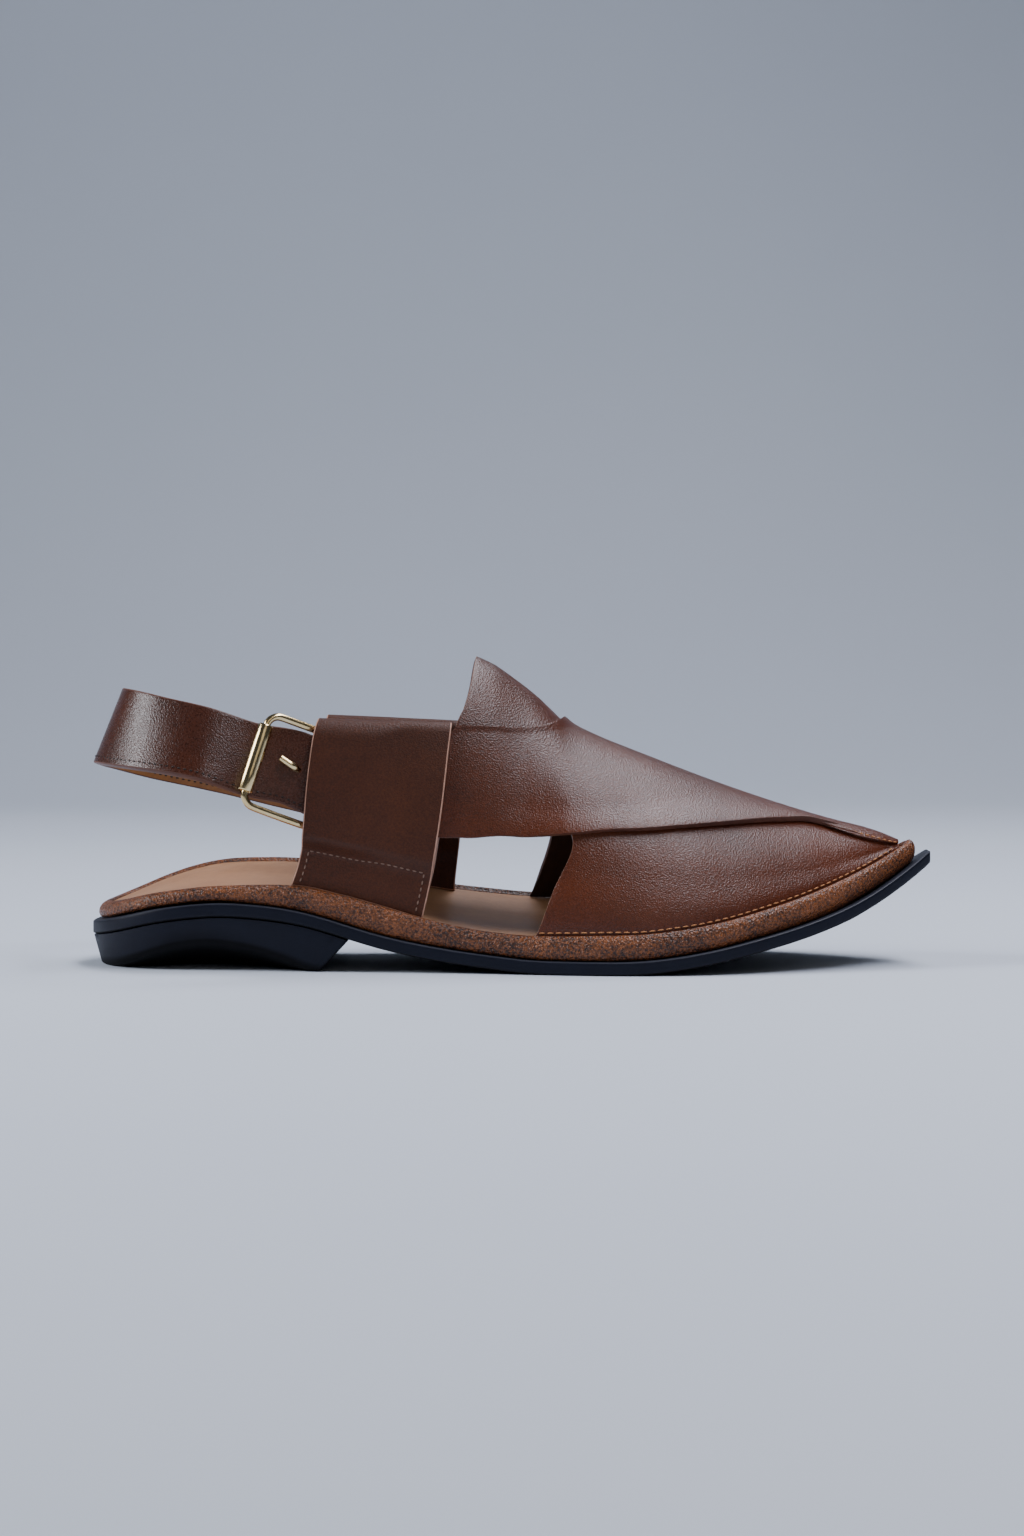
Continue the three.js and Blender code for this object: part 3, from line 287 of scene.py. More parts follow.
insole = smoothed_copy("insole", sharp=50)
insole.data.materials.append(
    smooth_leather("insole_leather", (0.34, 0.155, 0.065, 1), (0.50, 0.27, 0.14, 1), 0.42, 0.1))


# The upper is two broad straps of satin brown leather, cut from hide 2.2 mm thick and pulled over
# a last. The under strap ends in the instep flap; the over strap crosses it, and its lower edge
# lies free. Lengths are in millimetres from the rear edge of the sole, until in_frame() turns them into
# the frame's metres. The tables for the outline, the underside, the rim and the last are keyed by
# share of the sole's length. Those for the straps' edges are keyed by share of the strap's own
# length, and each row is a place along the sole and a place round the last.
SOLE_LENGTH = 296
BALL_WIDTH = 104
REST_SHARE = 0.15
SEAT, SPRING = 19, 35
OUTSOLE, RAND, ARCH, BEAD, GAP = 4.6, 9, 10, 4.4, 0.3
INSOLE_DROP, LAST_LIFT = 1, 0.1
SIDE_OVERHANG, REAR_OVERHANG, TOE_OVERHANG = 1.4, 2, 5
INSTEP = 108
STRAP_WALL = 2.2
WALL_OF_WIDTH, WALL_OF_RISE = 0.16, 0.34
UNDER_DEPTH = 1.4
FEATHER = BEAD + GAP
GIRTH_STEP = 0.012
SETTLED_EDGE = 0.06
OUTLINE = {
    0.0: (0.0, 0.33), 0.12: (-0.002, 0.34), 0.25: (-0.018, 0.35), 0.4: (-0.038, 0.368),
    0.52: (-0.038, 0.425), 0.6: (-0.029, 0.475), 0.67: (-0.015, 0.494), 0.72: (-0.004, 0.484),
    0.78: (0.006, 0.442), 0.86: (0.022, 0.345), 0.92: (0.032, 0.24), 0.965: (0.04, 0.145),
    1.0: (0.045, 0.055),
}
UNDERSIDE = {
    0.0: (0.55, 0), 0.045: (0.72, 0), 0.08: (0.863, 0), 0.115: (0.945, 0), 0.16: (1.0, 0),
    0.21: (0.95, 0), 0.255: (0.85, 0), 0.3: (0.65, 0), 0.345: (0.43, 0), 0.39: (0.28, 0),
    0.44: (0.15, 0), 0.485: (0.07, 0), 0.53: (0, 0), 0.635: (0, 0), 0.7: (0, 0.057),
    0.745: (0, 0.125), 0.78: (0, 0.194), 0.835: (0, 0.31), 0.89: (0, 0.463), 0.92: (0, 0.575),
    0.975: (0, 0.85), 1.0: (0, 1.0),
}
RIM = {
    0.0: (0.58, 0.0, 1.0), 0.06: (0.58, 0.25, 1.0), 0.16: (0.62, 0.6, 1.0), 0.24: (0.9, 0.55, 1.0),
    0.3: (1.05, 0.6, 1.0), 0.34: (1.12, 0.7, 1.0), 0.4: (0.98, 0.88, 1.0), 0.47: (0.86, 1.0, 1.0),
    0.54: (0.92, 0.9, 1.0), 0.63: (0.98, 0.55, 1.0), 0.75: (0.95, 0.15, 1.0),
    0.83: (1.02, 0.0, 0.95), 0.9: (1.08, 0.0, 0.8), 0.965: (0.95, 0.0, 0.55),
    1.0: (0.82, 0.0, 0.42),
}
LAST = {
    0.22: (1.36, 0.0, 1.0), 0.34: (1.22, 0.0, 1.0), 0.4: (1.115, 0.0, 1.0),
    0.43: (1.045, 0.0, 1.0), 0.46: (1.0135, 0.002, 1.07), 0.482: (0.985, 0.004, 1.14),
    0.5: (0.951, 0.006, 1.19), 0.517: (0.9165, 0.008, 1.215), 0.534: (0.8785, 0.01, 1.21),
    0.549: (0.8395, 0.012, 1.185), 0.567: (0.7935, 0.0145, 1.15), 0.595: (0.752, 0.018, 1.16),
    0.652: (0.688, 0.024, 1.2), 0.772: (0.564, 0.034, 1.22), 0.868: (0.48, 0.04, 1.2),
    0.935: (0.431, 0.043, 1.15), 0.965: (0.398, 0.044, 1.1),
}
UNDER_REAR = {
    0.0: (0.5265, 0.0), 0.1: (0.546, 0.0793), 0.2: (0.5705, 0.1654), 0.27: (0.555, 0.2103),
    0.34: (0.486, 0.2278), 0.4: (0.4375, 0.2226), 0.44: (0.4352, 0.2523), 0.47: (0.4392, 0.2728),
    0.5: (0.4455, 0.2965), 0.56: (0.4545, 0.3655), 0.63: (0.4595, 0.49), 0.7: (0.4565, 0.6158),
    0.76: (0.4505, 0.7045), 0.82: (0.437, 0.7894), 0.9: (0.4, 0.815), 1.0: (0.358, 0.832),
}
UNDER_FRONT = {
    0.0: (0.963, 0.0), 0.15: (0.963, 0.2), 0.3: (0.96, 0.4), 0.42: (0.935, 0.58),
    0.5: (0.88, 0.63), 0.6: (0.79, 0.7), 0.7: (0.68, 0.77), 0.8: (0.56, 0.8369),
    0.9: (0.45, 0.8988), 1.0: (0.358, 0.935),
}
OVER_REAR = {
    0.0: (0.522, 1.0), 0.1: (0.534, 0.9446), 0.2: (0.546, 0.8875), 0.3: (0.556, 0.802),
    0.4: (0.563, 0.6863), 0.5: (0.565, 0.55), 0.58: (0.5595, 0.448), 0.65: (0.5425, 0.3693),
    0.72: (0.5223, 0.3321), 0.79: (0.4906, 0.2953), 0.86: (0.4533, 0.2649), 0.89: (0.4365, 0.2525),
    0.91: (0.4285, 0.238), 0.95: (0.4, 0.21), 1.0: (0.358, 0.184),
}
OVER_FRONT = {
    0.0: (0.963, 1.0), 0.06: (0.963, 0.6), 0.12: (0.963, 0.22), 0.18: (0.952, 0.25),
    0.25: (0.937, 0.285), 0.33: (0.912, 0.325), 0.37: (0.89, 0.37), 0.42: (0.86, 0.38),
    0.48: (0.82, 0.336), 0.55: (0.756, 0.28), 0.63: (0.673, 0.23), 0.7: (0.62, 0.2048),
    0.77: (0.56, 0.1722), 0.84: (0.5, 0.145), 0.9: (0.441, 0.1061), 0.95: (0.4, 0.09),
    1.0: (0.358, 0.078),
}


def curve(table, column):
    """Smooth reading of one column over the table's keys, with no overshoot between rows."""
    xs = list(table)
    ys = [row[column] for row in table.values()]
    steps = [(ys[i + 1] - ys[i]) / (xs[i + 1] - xs[i]) for i in range(len(xs) - 1)]
    slopes = [steps[0]]
    for before, after in zip(steps, steps[1:]):
        slopes.append(0 if before * after <= 0 else 2 * before * after / (before + after))
    slopes.append(steps[-1])

    def read(value):
        x = min(max(value, xs[0]), xs[-1])
        i = 0
        while i < len(xs) - 2 and x > xs[i + 1]:
            i += 1
        span = xs[i + 1] - xs[i]
        t = (x - xs[i]) / span
        return (ys[i] + (ys[i + 1] - ys[i]) * t * t * (3 - 2 * t)
                + t * (1 - t) ** 2 * span * slopes[i] - t * t * (1 - t) * span * slopes[i + 1])
    return read


def ease(low, high, value):
    t = min(max((value - low) / (high - low), 0), 1)
    return t * t * (3 - 2 * t)


def mix(a, b, t):
    return a + (b - a) * t


middle_share, half_share = curve(OUTLINE, 0), curve(OUTLINE, 1)
seat_share, spring_share = curve(UNDERSIDE, 0), curve(UNDERSIDE, 1)
rand_share, arch_share, bead_share = curve(RIM, 0), curve(RIM, 1), curve(RIM, 2)
ridge_share, shift_share, full_share = curve(LAST, 0), curve(LAST, 1), curve(LAST, 2)


def half_width(share, depth):
    return BALL_WIDTH * half_share(share) - SIDE_OVERHANG - depth * bead_share(share)


def rand_top(x, y):
    share = x / SOLE_LENGTH
    half = half_width(share, 0)
    across = min(max((y - BALL_WIDTH * middle_share(share) + half) / (2 * half), 0), 1)
    base = SEAT * seat_share(share) + SPRING * spring_share(share) + OUTSOLE + GAP
    return base + RAND * rand_share(share) + ARCH * arch_share(share) * across * across


def insole_top(x, y):
    return rand_top(x, y) - INSOLE_DROP


def feather(x, side, depth=FEATHER):
    """Foot of the last on the insole, at the outer side (-1) or the inner side (+1)."""
    rear, toe = REAR_OVERHANG + FEATHER, SOLE_LENGTH - TOE_OVERHANG - FEATHER
    share = min(max((x - rear) / (toe - rear), 0), 1)
    y = BALL_WIDTH * middle_share(share) + side * half_width(share, depth)
    return Vector((x, y, insole_top(x, y) + GAP + LAST_LIFT))


def last_point(x, around):
    """Point of the last, from its outer foot (around 0) over the ridge to its inner foot (1)."""
    side = -1 if around < 0.5 else 1
    share = x / SOLE_LENGTH
    turn = math.pi * min(around, 1 - around)
    foot = feather(x, side)
    ridge, shift = INSTEP * ridge_share(share), BALL_WIDTH * shift_share(share)
    full = full_share(share)
    return Vector((x, shift + (foot.y - shift) * max(math.cos(turn), 0) ** full,
                   foot.z + (ridge - foot.z) * math.sin(turn) ** full))


def skin_point(x, around, offset):
    """Point at an offset from the last, whose lowest edge stays level just above the insole."""
    girth = last_point(x, min(around + GIRTH_STEP, 1)) - last_point(x, max(around - GIRTH_STEP, 0))
    normal = (last_point(x + 1, around) - last_point(x - 1, around)).cross(girth).normalized()
    edge = min(around, 1 - around)
    settle = ease(0, SETTLED_EDGE, edge)
    normal = Vector((normal.x * settle, normal.y, normal.z * settle)).normalized()
    point = last_point(x, around) + normal * offset
    if edge == 0:
        point.z = insole_top(point.x, point.y) + GAP + LAST_LIFT
    return point


def in_frame(point):
    """From millimetres behind the rear edge of the sole to the frame's metres."""
    return Vector((point.x - REST_SHARE * SOLE_LENGTH, point.y, point.z)) * MM


def wall_scale(x):
    """Share of the full wall that the straps keep where the toe gets narrow and low."""
    outer, inner = feather(x, -1), feather(x, 1)
    rise = INSTEP * ridge_share(x / SOLE_LENGTH) - max(outer.z, inner.z)
    return min(1, min(WALL_OF_WIDTH * (inner.y - outer.y), WALL_OF_RISE * rise) / STRAP_WALL)


LINING, CUT_EDGE, CORNER = 1, 2, 3


def leather_sheet(name, columns, rows, outer_at, inner_at, materials, edge=0.5):
    """Sheet of leather between two faces over the unit square.

    The materials are for its outer face, its lining, its cut edge and that edge's round corners."""
    bpy.ops.object.select_all(action="DESELECT")
    bpy.ops.mesh.primitive_grid_add(x_subdivisions=columns, y_subdivisions=rows, size=1)
    sheet = bpy.context.object
    sheet.name = name
    places = [(v.co.x + 0.5, v.co.y + 0.5) for v in sheet.data.vertices]
    outer = [in_frame(outer_at(*place)) for place in places]
    inner = [in_frame(inner_at(*place)) for place in places]
    for v, point in zip(sheet.data.vertices, outer):
        v.co = point
    for material in materials:
        sheet.data.materials.append(material)
    solidify = sheet.modifiers.new("hide", "SOLIDIFY")
    solidify.thickness = MM
    solidify.offset = -1
    solidify.material_offset = LINING
    solidify.material_offset_rim = CUT_EDGE
    bpy.ops.object.modifier_apply(modifier="hide")
    for v, point in zip(list(sheet.data.vertices)[len(places):], inner):
        v.co = point
    bpy.ops.object.mode_set(mode="EDIT")
    bpy.ops.mesh.select_all(action="SELECT")
    bpy.ops.mesh.normals_make_consistent(inside=False)
    bpy.ops.mesh.select_all(action="DESELECT")
    bpy.ops.object.mode_set(mode="OBJECT")
    rims = {}
    for face in sheet.data.polygons:
        for key in face.edge_keys:
            rims.setdefault(key, set()).add(face.material_index)
    weights = sheet.data.attributes.new("bevel_weight_edge", "FLOAT", "EDGE")
    for e in sheet.data.edges:
        found = rims.get(tuple(sorted(e.vertices)), set())
        weights.data[e.index].value = 1.0 if CUT_EDGE in found and len(found) > 1 else 0.0
    bevel = sheet.modifiers.new("softened", "BEVEL")
    bevel.width = edge * MM
    bevel.segments = 3
    bevel.limit_method = "WEIGHT"
    bevel.material = CORNER
    bpy.ops.object.modifier_apply(modifier="softened")
    bpy.ops.object.shade_smooth_by_angle(angle=math.radians(50))
    return sheet


def strap_faces(rear, front, depth_at, lift_at):
    """Outer and inner face of a strap between its rear and front edges on the last."""
    rear_at, rear_around = curve(rear, 0), curve(rear, 1)
    front_at, front_around = curve(front, 0), curve(front, 1)

    def face(layer):
        def at(along, across):
            x = SOLE_LENGTH * mix(rear_at(along), front_at(along), across)
            around = mix(rear_around(along), front_around(along), across)
            depth = depth_at(around) + layer * STRAP_WALL
            return skin_point(x, around, lift_at(along, across) - wall_scale(x) * depth)
        return at
    return face(0), face(1)


def strap_leather(name, dark, light, roughness=0.27, grain=0.15, specular=0.5):
    """Satin brown leather: clouded, pulled-up dye and a fine grain, in millimetres of depth."""
    material, shader, wire = finish(name, specular=specular)
    clouds = wire.noise(15, 4, 0.55).step(0.3, 0.7)
    mottle = wire.noise(1500, 5, 0.7)
    pull = wire.noise(90, 4, 0.6, stretch=(0.25, 1, 1))
    creases = wire.cells(2200, "SMOOTH_F1").step(0.1, 0.8)
    tone = clouds * 0.35 + mottle.step(0.34, 0.66) * 0.5 + pull.step(0.35, 0.7) * 0.15
    feed(shader, wire, Base_Color=tone.tint(dark, light),
         Roughness=roughness + 0.18 * mottle - 0.05 * clouds,
         Normal=wire.bump(0.6 * creases + 0.4 * wire.noise(1700, 4, 0.65), grain * MM, 0.9))
    return material


vamp_leather = strap_leather("vamp_leather", (0.032, 0.0068, 0.0026, 1), (0.135, 0.029, 0.008, 1))
lining_leather = smooth_leather(
    "lining_leather", (0.03, 0.012, 0.006, 1), (0.08, 0.034, 0.016, 1), 0.6, 0.0)
cut_leather = smooth_leather(
    "cut_leather", (0.05, 0.014, 0.007, 1), (0.14, 0.045, 0.022, 1), 0.5, 0.1)
# The round corners of the cut edges are painted pale: a painted highlight where the rounded edge
# catches the light.
painted_edge_highlight = smooth_leather(
    "painted_edge_highlight", (0.36, 0.17, 0.11, 1), (0.60, 0.34, 0.24, 1), 0.45, 0.1)
STRAP_FINISHES = [vamp_leather, lining_leather, cut_leather, painted_edge_highlight]


LOWER_LIFT, REAR_LIFT = 1.2, 0.4


def free_edge_lift(along, across):
    """The over strap's edges stand off the strap below, the lower one most, where it isn't sewn."""
    middle = ease(0.3, 0.4, along) * (1 - ease(0.78, 0.9, along))
    lower = LOWER_LIFT * ease(0.72, 1.0, across) * middle
    rear = REAR_LIFT * (1 - ease(0.0, 0.06, across))
    return lower + rear


def under_depth(around):
    """The under strap lies below the over strap, except at its own outer foot."""
    return UNDER_DEPTH * ease(0.02, 0.14, around)


under_strap = leather_sheet("upper_under_strap", 150, 60, *strap_faces(
    UNDER_REAR, UNDER_FRONT, under_depth, lambda along, across: 0), STRAP_FINISHES)
over_strap = leather_sheet("upper_over_strap", 150, 60, *strap_faces(
    OVER_REAR, OVER_FRONT, lambda around: 0, free_edge_lift), STRAP_FINISHES)
for strap in (under_strap, over_strap):
    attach(strap, "root")
    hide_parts("upper")


# Each side loop is a strip of dark matt leather, folded over the strap ends and sewn together above
# the sole. The outer one also takes the heel strap and its buckle bar.
LOOP_TOP = 87.4
LOOP_TOP_SLOPE = 0.98
LOOP_SHEET = 2
LOOP_LEG, LOOP_FOLD = 0.42, 0.16
OUTER_PUFF, INNER_PUFF = 1.2, 0.6
SLACK = 0.8
BUCKLE_WIRE = 2.8
HEEL_STRAP_WALL = 3
SKIVED = 0.68 * HEEL_STRAP_WALL
PRONG_EYE = BUCKLE_WIRE / 2 + GAP + 0.8
BAR_TO_STRAP = PRONG_EYE + GAP + SKIVED / 2
OUTER_LOOP = {
    0.0: (0.242, 0.396), 0.12: (0.25, 0.402), 0.3: (0.257, 0.41), 0.6: (0.262, 0.42),
    0.85: (0.268, 0.426), 1.0: (0.274, 0.43),
}
INNER_LOOP = {0.0: (0.25, 0.43), 0.3: (0.262, 0.434), 0.6: (0.268, 0.437), 1.0: (0.276, 0.436)}
SIDE_LOOPS = ((-1, "side_loop_lateral", OUTER_LOOP), (1, "side_loop_medial", INNER_LOOP))


def around_at(x, z, side):
    """Place round the last that has a height, on the outer side (-1) or the inner side (+1)."""
    share = x / SOLE_LENGTH
    foot = feather(x, side)
    rise = min(max((z - foot.z) / (INSTEP * ridge_share(share) - foot.z), 0), 1)
    turn = math.asin(rise ** (1 / full_share(share))) / math.pi
    return turn if side < 0 else 1 - turn


def loop_room(side, across):
    """Offsets from the last of the loop's clear room: wide at the rear, narrow at the front."""
    face = 0 if side < 0 else -UNDER_DEPTH
    puff = OUTER_PUFF if side < 0 else INNER_PUFF
    sink = (GAP + PRONG_EYE + BAR_TO_STRAP + SKIVED / 2 - puff + 2 * SLACK if side < 0
            else HEEL_STRAP_WALL + 2 * GAP - puff + SLACK)
    wide = 1 - ease(0.38, 0.68, across)
    high = face + 2 * GAP + wide * (puff + SLACK)
    low = face - mix(STRAP_WALL + 2 * GAP, sink, wide)
    return high, low


def loop_faces(side, edges):
    """Outer and inner face of the folded strip, from its outer foot over the fold and down."""
    rear_at, front_at = curve(edges, 0), curve(edges, 1)
    reach = LOOP_TOP - feather(SOLE_LENGTH * rear_at(0), side).z

    def place(across, height, offset):
        held = min(height, 1)
        x = SOLE_LENGTH * mix(rear_at(held), front_at(held), across)
        z = mix(feather(x, side).z, LOOP_TOP * mix(1, LOOP_TOP_SLOPE, across), height)
        return skin_point(x, around_at(x, z, side), offset)

    def face(layer):
        def at(along, across):
            high, low = loop_room(side, across)
            half, centre = (high - low) / 2, (high + low) / 2
            thick = LOOP_SHEET * (1 - layer)
            fold = 1 - (half + LOOP_SHEET) / reach
            if LOOP_LEG < along < LOOP_LEG + LOOP_FOLD:
                turn = math.pi * (along - LOOP_LEG) / LOOP_FOLD
                radius = half + thick
                return place(across, fold + radius / reach * math.sin(turn),
                             centre + radius * math.cos(turn))
            leg = min(along, 1 - along) / LOOP_LEG
            height = fold * leg
            spread = ease(0.2, 0.31, height)
            if along < 0.5:
                offset = mix(thick - LOOP_SHEET, high + thick, spread)
            else:
                offset = mix(-LOOP_SHEET - thick, low - thick, spread)
            return place(across, height, offset)
        return at
    return face(0), face(1)


loop_leather = strap_leather(
    "loop_leather", (0.026, 0.0065, 0.0024, 1), (0.10, 0.026, 0.008, 1), 0.45, specular=0.3)
LOOP_FINISHES = [loop_leather, lining_leather, cut_leather, painted_edge_highlight]
for side, node, edges in SIDE_LOOPS:
    loop = leather_sheet(node + "_visual", 140, 36, *loop_faces(side, edges), LOOP_FINISHES, 0.45)
    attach(loop, "root")
    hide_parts(node)


# The heel strap is glazed brown leather with a tan lining. It runs from the outer loop round the
# heel to the inner one, and is held by the buckle. Each row gives the place of its middle line as
# shares of the sole's length, of its own span and of its height, its inward lean in degrees, and
# its width and wall as shares. The ends, inside the loops, have a place, a height and a wall.
HEEL_STRAP_WIDTH = 26
HEEL_STRAP_SPAN = 33
HEEL_STRAP_HEIGHT = 83.6
HEEL_CENTRE = 0.16
LEAN_ALONG = 0.4
TANGENT_REACH = 4
HEEL_STRAP = [
    (0.243, -0.935, 0.838, 9, 1.0, 0.68), (0.2, -0.96, 0.868, 15, 1.0, 0.72),
    (0.14, -1.0, 0.936, 26, 1.03, 1.0), (0.075, -0.8, 0.978, 26, 1.06, 1.0),
    (0.035, -0.42, 0.998, 23, 1.08, 1.0), (0.023, 0.0, 0.995, 21, 1.09, 1.0),
    (0.035, 0.42, 0.97, 18, 1.08, 1.0), (0.075, 0.8, 0.92, 12, 1.06, 1.0),
    (0.14, 0.97, 0.862, 7, 1.03, 1.0), (0.21, 0.86, 0.8, 7, 1.0, 1.0),
]
OUTER_ENDS = [(0.322, 0.744, 0.68), (0.288, 0.77, 0.68)]
INNER_ENDS = [(0.288, 0.742, 1), (0.322, 0.72, 1)]


def spline(points, centripetal):
    """Catmull-Rom curve through points, over 0 to 1."""
    def at(t):
        place = min(max(t, 0), 1) * (len(points) - 1)
        i = min(int(place), len(points) - 2)
        w = place - i
        p1, p2 = points[i], points[i + 1]
        p0 = points[i - 1] if i else 2 * p1 - p2
        p3 = points[i + 2] if i + 2 < len(points) else 2 * p2 - p1
        if centripetal:
            d0, d1, d2 = (math.sqrt((b - a).length) for a, b in ((p0, p1), (p1, p2), (p2, p3)))
            lead = ((p1 - p0) / d0 - (p2 - p0) / (d0 + d1) + (p2 - p1) / d1) * d1
            tail = ((p2 - p1) / d1 - (p3 - p1) / (d1 + d2) + (p3 - p2) / d2) * d1
        else:
            lead, tail = 0.5 * (p2 - p0), 0.5 * (p3 - p1)
        square = 3 * (p2 - p1) - 2 * lead - tail
        cube = 2 * (p1 - p2) + lead + tail
        return p1 + lead * w + square * w ** 2 + cube * w ** 3
    return at


def heel_strap_line():
    """Centre, up, out, width and wall of the heel strap, over 0 to 1 from the outer loop."""
    rows = []
    for at, side, height, lean, width, wall in HEEL_STRAP:
        centre = Vector((SOLE_LENGTH * at, HEEL_STRAP_SPAN * side, HEEL_STRAP_HEIGHT * height))
        inward = Vector((SOLE_LENGTH * HEEL_CENTRE - centre.x, -centre.y, 0))
        if abs(inward.x) < abs(inward.y):
            inward.x *= LEAN_ALONG
        tilt = math.radians(lean)
        up = Vector((0, 0, math.cos(tilt))) + inward.normalized() * math.sin(tilt)
        rows.append((centre, up, Vector((width, wall, 0))))

    def held(side, share, height, wall):
        x, z = SOLE_LENGTH * share, HEEL_STRAP_HEIGHT * height
        offset = loop_room(side, 0)[0] - 2 * GAP - SLACK - HEEL_STRAP_WALL * wall / 2
        up = (skin_point(x, around_at(x, z + TANGENT_REACH, side), 0)
              - skin_point(x, around_at(x, z - TANGENT_REACH, side), 0))
        return skin_point(x, around_at(x, z, side), offset), up.normalized(), Vector((1, wall, 0))

    rows = [held(-1, *end) for end in OUTER_ENDS] + rows + [held(1, *end) for end in INNER_ENDS]
    centres = spline([row[0] for row in rows], True)
    ups = spline([row[1] for row in rows], False)
    sizes = spline([row[2] for row in rows], False)

    def at(t):
        centre, up, size = centres(t), ups(t), sizes(t)
        forward = (centres(min(t + 0.0001, 1)) - centres(max(t - 0.0001, 0))).normalized()
        up = (up - forward * up.dot(forward)).normalized()
        out = up.cross(forward).normalized()
        return centre, up, out, size.x * HEEL_STRAP_WIDTH, size.y * HEEL_STRAP_WALL
    return at


strap_at = heel_strap_line()


def heel_strap_face(layer):
    """Outer face (0) or lining (1) of the heel strap."""
    def at(along, across):
        centre, up, out, width, wall = strap_at(along)
        return centre + up * (across - 0.5) * width + out * (0.5 - layer) * wall
    return at


heel_strap_leather = strap_leather(
    "heel_strap_leather", (0.028, 0.0075, 0.004, 1), (0.10, 0.026, 0.011, 1), 0.2, 0.12)
strap_lining = smooth_leather(
    "heel_strap_lining", (0.22, 0.09, 0.025, 1), (0.42, 0.2, 0.065, 1), 0.5, 0.1)
heel_strap = leather_sheet("heel_strap_visual", 200, 20, heel_strap_face(0), heel_strap_face(1),
                           [heel_strap_leather, strap_lining, cut_leather, cut_leather], 0.6)
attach(heel_strap, "root")
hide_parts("heel_strap")


# The buckle is cast and plated pale gold: a frame with rounded corners, a roller on its rear bar
# and a prong that comes out through the strap.
def plating(name):
    """Pale gold plating: bright, with soft wear and fine polishing marks."""
    material, shader, wire = finish(name, metallic=1.0)
    marks = wire.noise(500, 4, 0.6, stretch=(1, 1, 0.15))
    wear = wire.noise(120, 5, 0.6)
    colour = wear.step(0.35, 0.75).tint((0.72, 0.54, 0.26, 1), (0.82, 0.69, 0.43, 1))
    feed(shader, wire, Base_Color=colour, Roughness=0.12 + 0.14 * marks,
         Normal=wire.bump(marks, 0.03 * MM, 0.5))
    return material


gold = plating("buckle_gold")
for node, sharp in (("buckle_frame", 60), ("buckle_roller", 40), ("buckle_prong", 50)):
    smoothed_copy(node, sharp).data.materials.append(gold)


# Waxed thread holds the leathers together: pale orange along the foot and the tip of the upper,
# dull tan on the loops. Along the lower edge of the heel strap the thread is near black: painted
# shade that stands for the dark stitch holes. Each stitch is a short pull of thread that dips into
# its holes at both ends. Stitches are given by their pitch, length and thickness.
RAND_STITCH = (2.9, 2.3, 0.62)
TOE_STITCH = (2.2, 1.6, 0.55)
LOOP_STITCH = (2.2, 1.5, 0.55)
HEEL_STITCH = (2.2, 1.2, 0.6)
ROW_TO_EDGE = 1.3
LOOP_SEAM = 0.105
LOOP_MARGIN = 0.06
HEEL_ROW = 0.085


def thread(name, dark, light):
    """Twisted waxed thread."""
    material, shader, wire = finish(name)
    twist = wire.noise(1800, 3)
    feed(shader, wire, Base_Color=twist.tint(dark, light), Roughness=0.55 + 0.2 * twist,
         Normal=wire.bump(twist, 0.1 * MM, 0.8))
    return material


def stitches(name, path, stitch, material):
    """Row of stitches along a path of (point, outward direction), in millimetres."""
    pitch, length, thick = stitch
    bpy.ops.object.select_all(action="DESELECT")
    bpy.ops.mesh.primitive_uv_sphere_add(segments=8, ring_count=6, radius=0.5)
    first = bpy.context.object
    first.name = name
    first.data.materials.append(material)
    bpy.ops.object.shade_smooth()
    spans = [(b[0] - a[0]).length for a, b in zip(path, path[1:])]
    count = int(sum(spans) / pitch)
    row = []
    for k in range(count):
        goal, i = (k + 0.5) * sum(spans) / count, 0
        while i < len(spans) - 1 and goal > spans[i]:
            goal -= spans[i]
            i += 1
        t = goal / spans[i]
        point = path[i][0].lerp(path[i + 1][0], t)
        out = path[i][1].lerp(path[i + 1][1], t).normalized()
        forward = (path[i + 1][0] - path[i][0]).normalized()
        across = out.cross(forward).normalized()
        out = forward.cross(across)
        turn = Matrix((forward, across, out)).transposed().to_4x4()
        scale = Matrix.Diagonal((length * MM, thick * MM, thick * MM, 1))
        row.append(Matrix.Translation(in_frame(point)) @ turn @ scale)
    for matrix in row[1:]:
        copy = first.copy()
        copy.data = first.data.copy()
        copy.data.transform(matrix)
        bpy.context.collection.objects.link(copy)
        copy.select_set(True)
    first.data.transform(row[0])
    first.select_set(True)
    bpy.context.view_layer.objects.active = first
    bpy.ops.object.join()
    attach(first, "root")


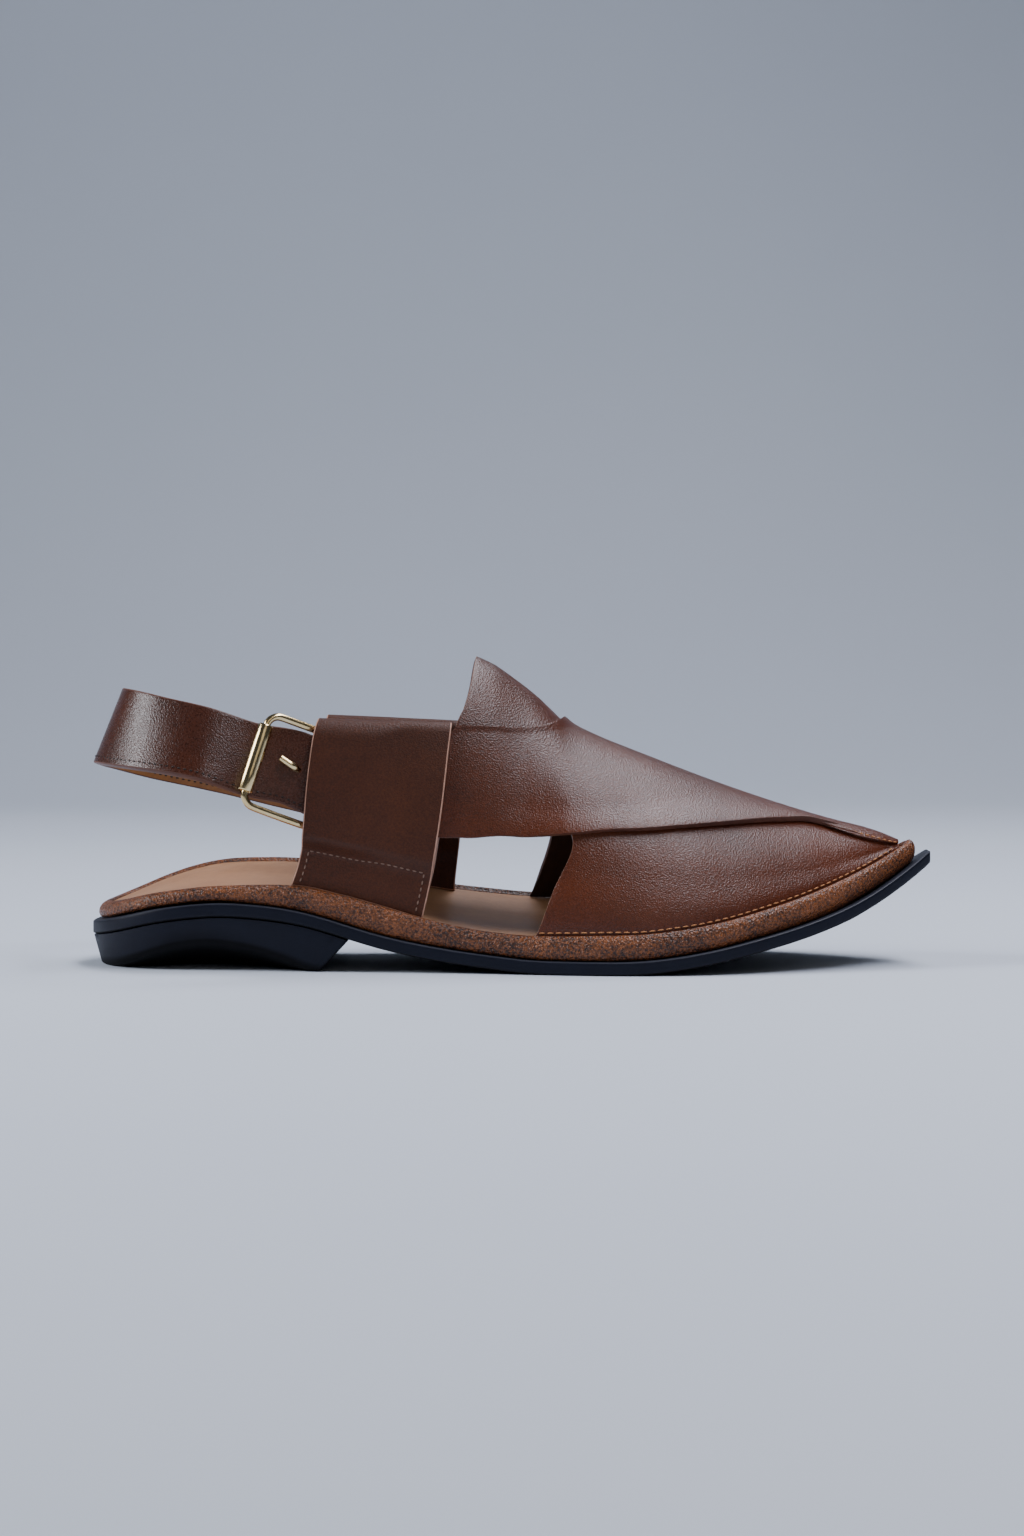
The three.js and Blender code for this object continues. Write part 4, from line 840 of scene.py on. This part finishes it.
def skin_path(places, offset):
    """Path over the last through (x, around), at an offset, with its outward directions."""
    return [(skin_point(x, around, offset),
             skin_point(x, around, offset + 1) - skin_point(x, around, offset))
            for x, around in places]


def steps(start, end, count):
    return [mix(start, end, i / count) for i in range(count + 1)]


pale_thread = thread("pale_thread", (0.36, 0.12, 0.035, 1), (0.66, 0.32, 0.13, 1))
tan_thread = thread("tan_thread", (0.14, 0.075, 0.05, 1), (0.34, 0.21, 0.15, 1))
# Near-black thread: painted shade that stands for the dark stitch holes along the heel strap's lower
# edge.
hole_shade_thread = thread("painted_hole_shade_thread", (0.006, 0.003, 0.002, 1), (0.03, 0.014, 0.008, 1))

for side, name in ((-1, "outer"), (1, "inner")):
    places = [share * SOLE_LENGTH for share in steps(0.53, 0.955, 90)]
    rows = [(x, around_at(x, feather(x, side).z + ROW_TO_EDGE, side)) for x in places]
    stitches("upper_stitches_" + name, skin_path(rows, 0.05), RAND_STITCH, pale_thread)

tip_x, tip_around = curve(OVER_FRONT, 0), curve(OVER_FRONT, 1)
tip_row = [(SOLE_LENGTH * tip_x(t) - ROW_TO_EDGE, tip_around(t) + GIRTH_STEP)
           for t in steps(0.1, 0.36, 30)]
stitches("upper_stitches_toe", skin_path(tip_row, 0.1), TOE_STITCH, pale_thread)

for side, node, edges in SIDE_LOOPS:
    outside, inside = loop_faces(side, edges)
    seams = {
        "across": [(LOOP_SEAM, across) for across in steps(LOOP_MARGIN, 1 - LOOP_MARGIN, 20)],
        "rear": [(along, LOOP_MARGIN) for along in steps(0.01, LOOP_SEAM, 12)],
        "front": [(along, 1 - LOOP_MARGIN) for along in steps(0.01, LOOP_SEAM, 12)],
    }
    for row, places in seams.items():
        path = [(outside(*place), outside(*place) - inside(*place)) for place in places]
        stitches(node + "_stitches_" + row, path, LOOP_STITCH, tan_thread)

for layer, face in ((0, "outside"), (1, "lining")):
    path = [(heel_strap_face(layer)(t, HEEL_ROW), strap_at(t)[2] * (1 - 2 * layer))
            for t in steps(0.05, 0.95, 160)]
    stitches("heel_strap_stitches_" + face, path, HEEL_STITCH, hole_shade_thread)
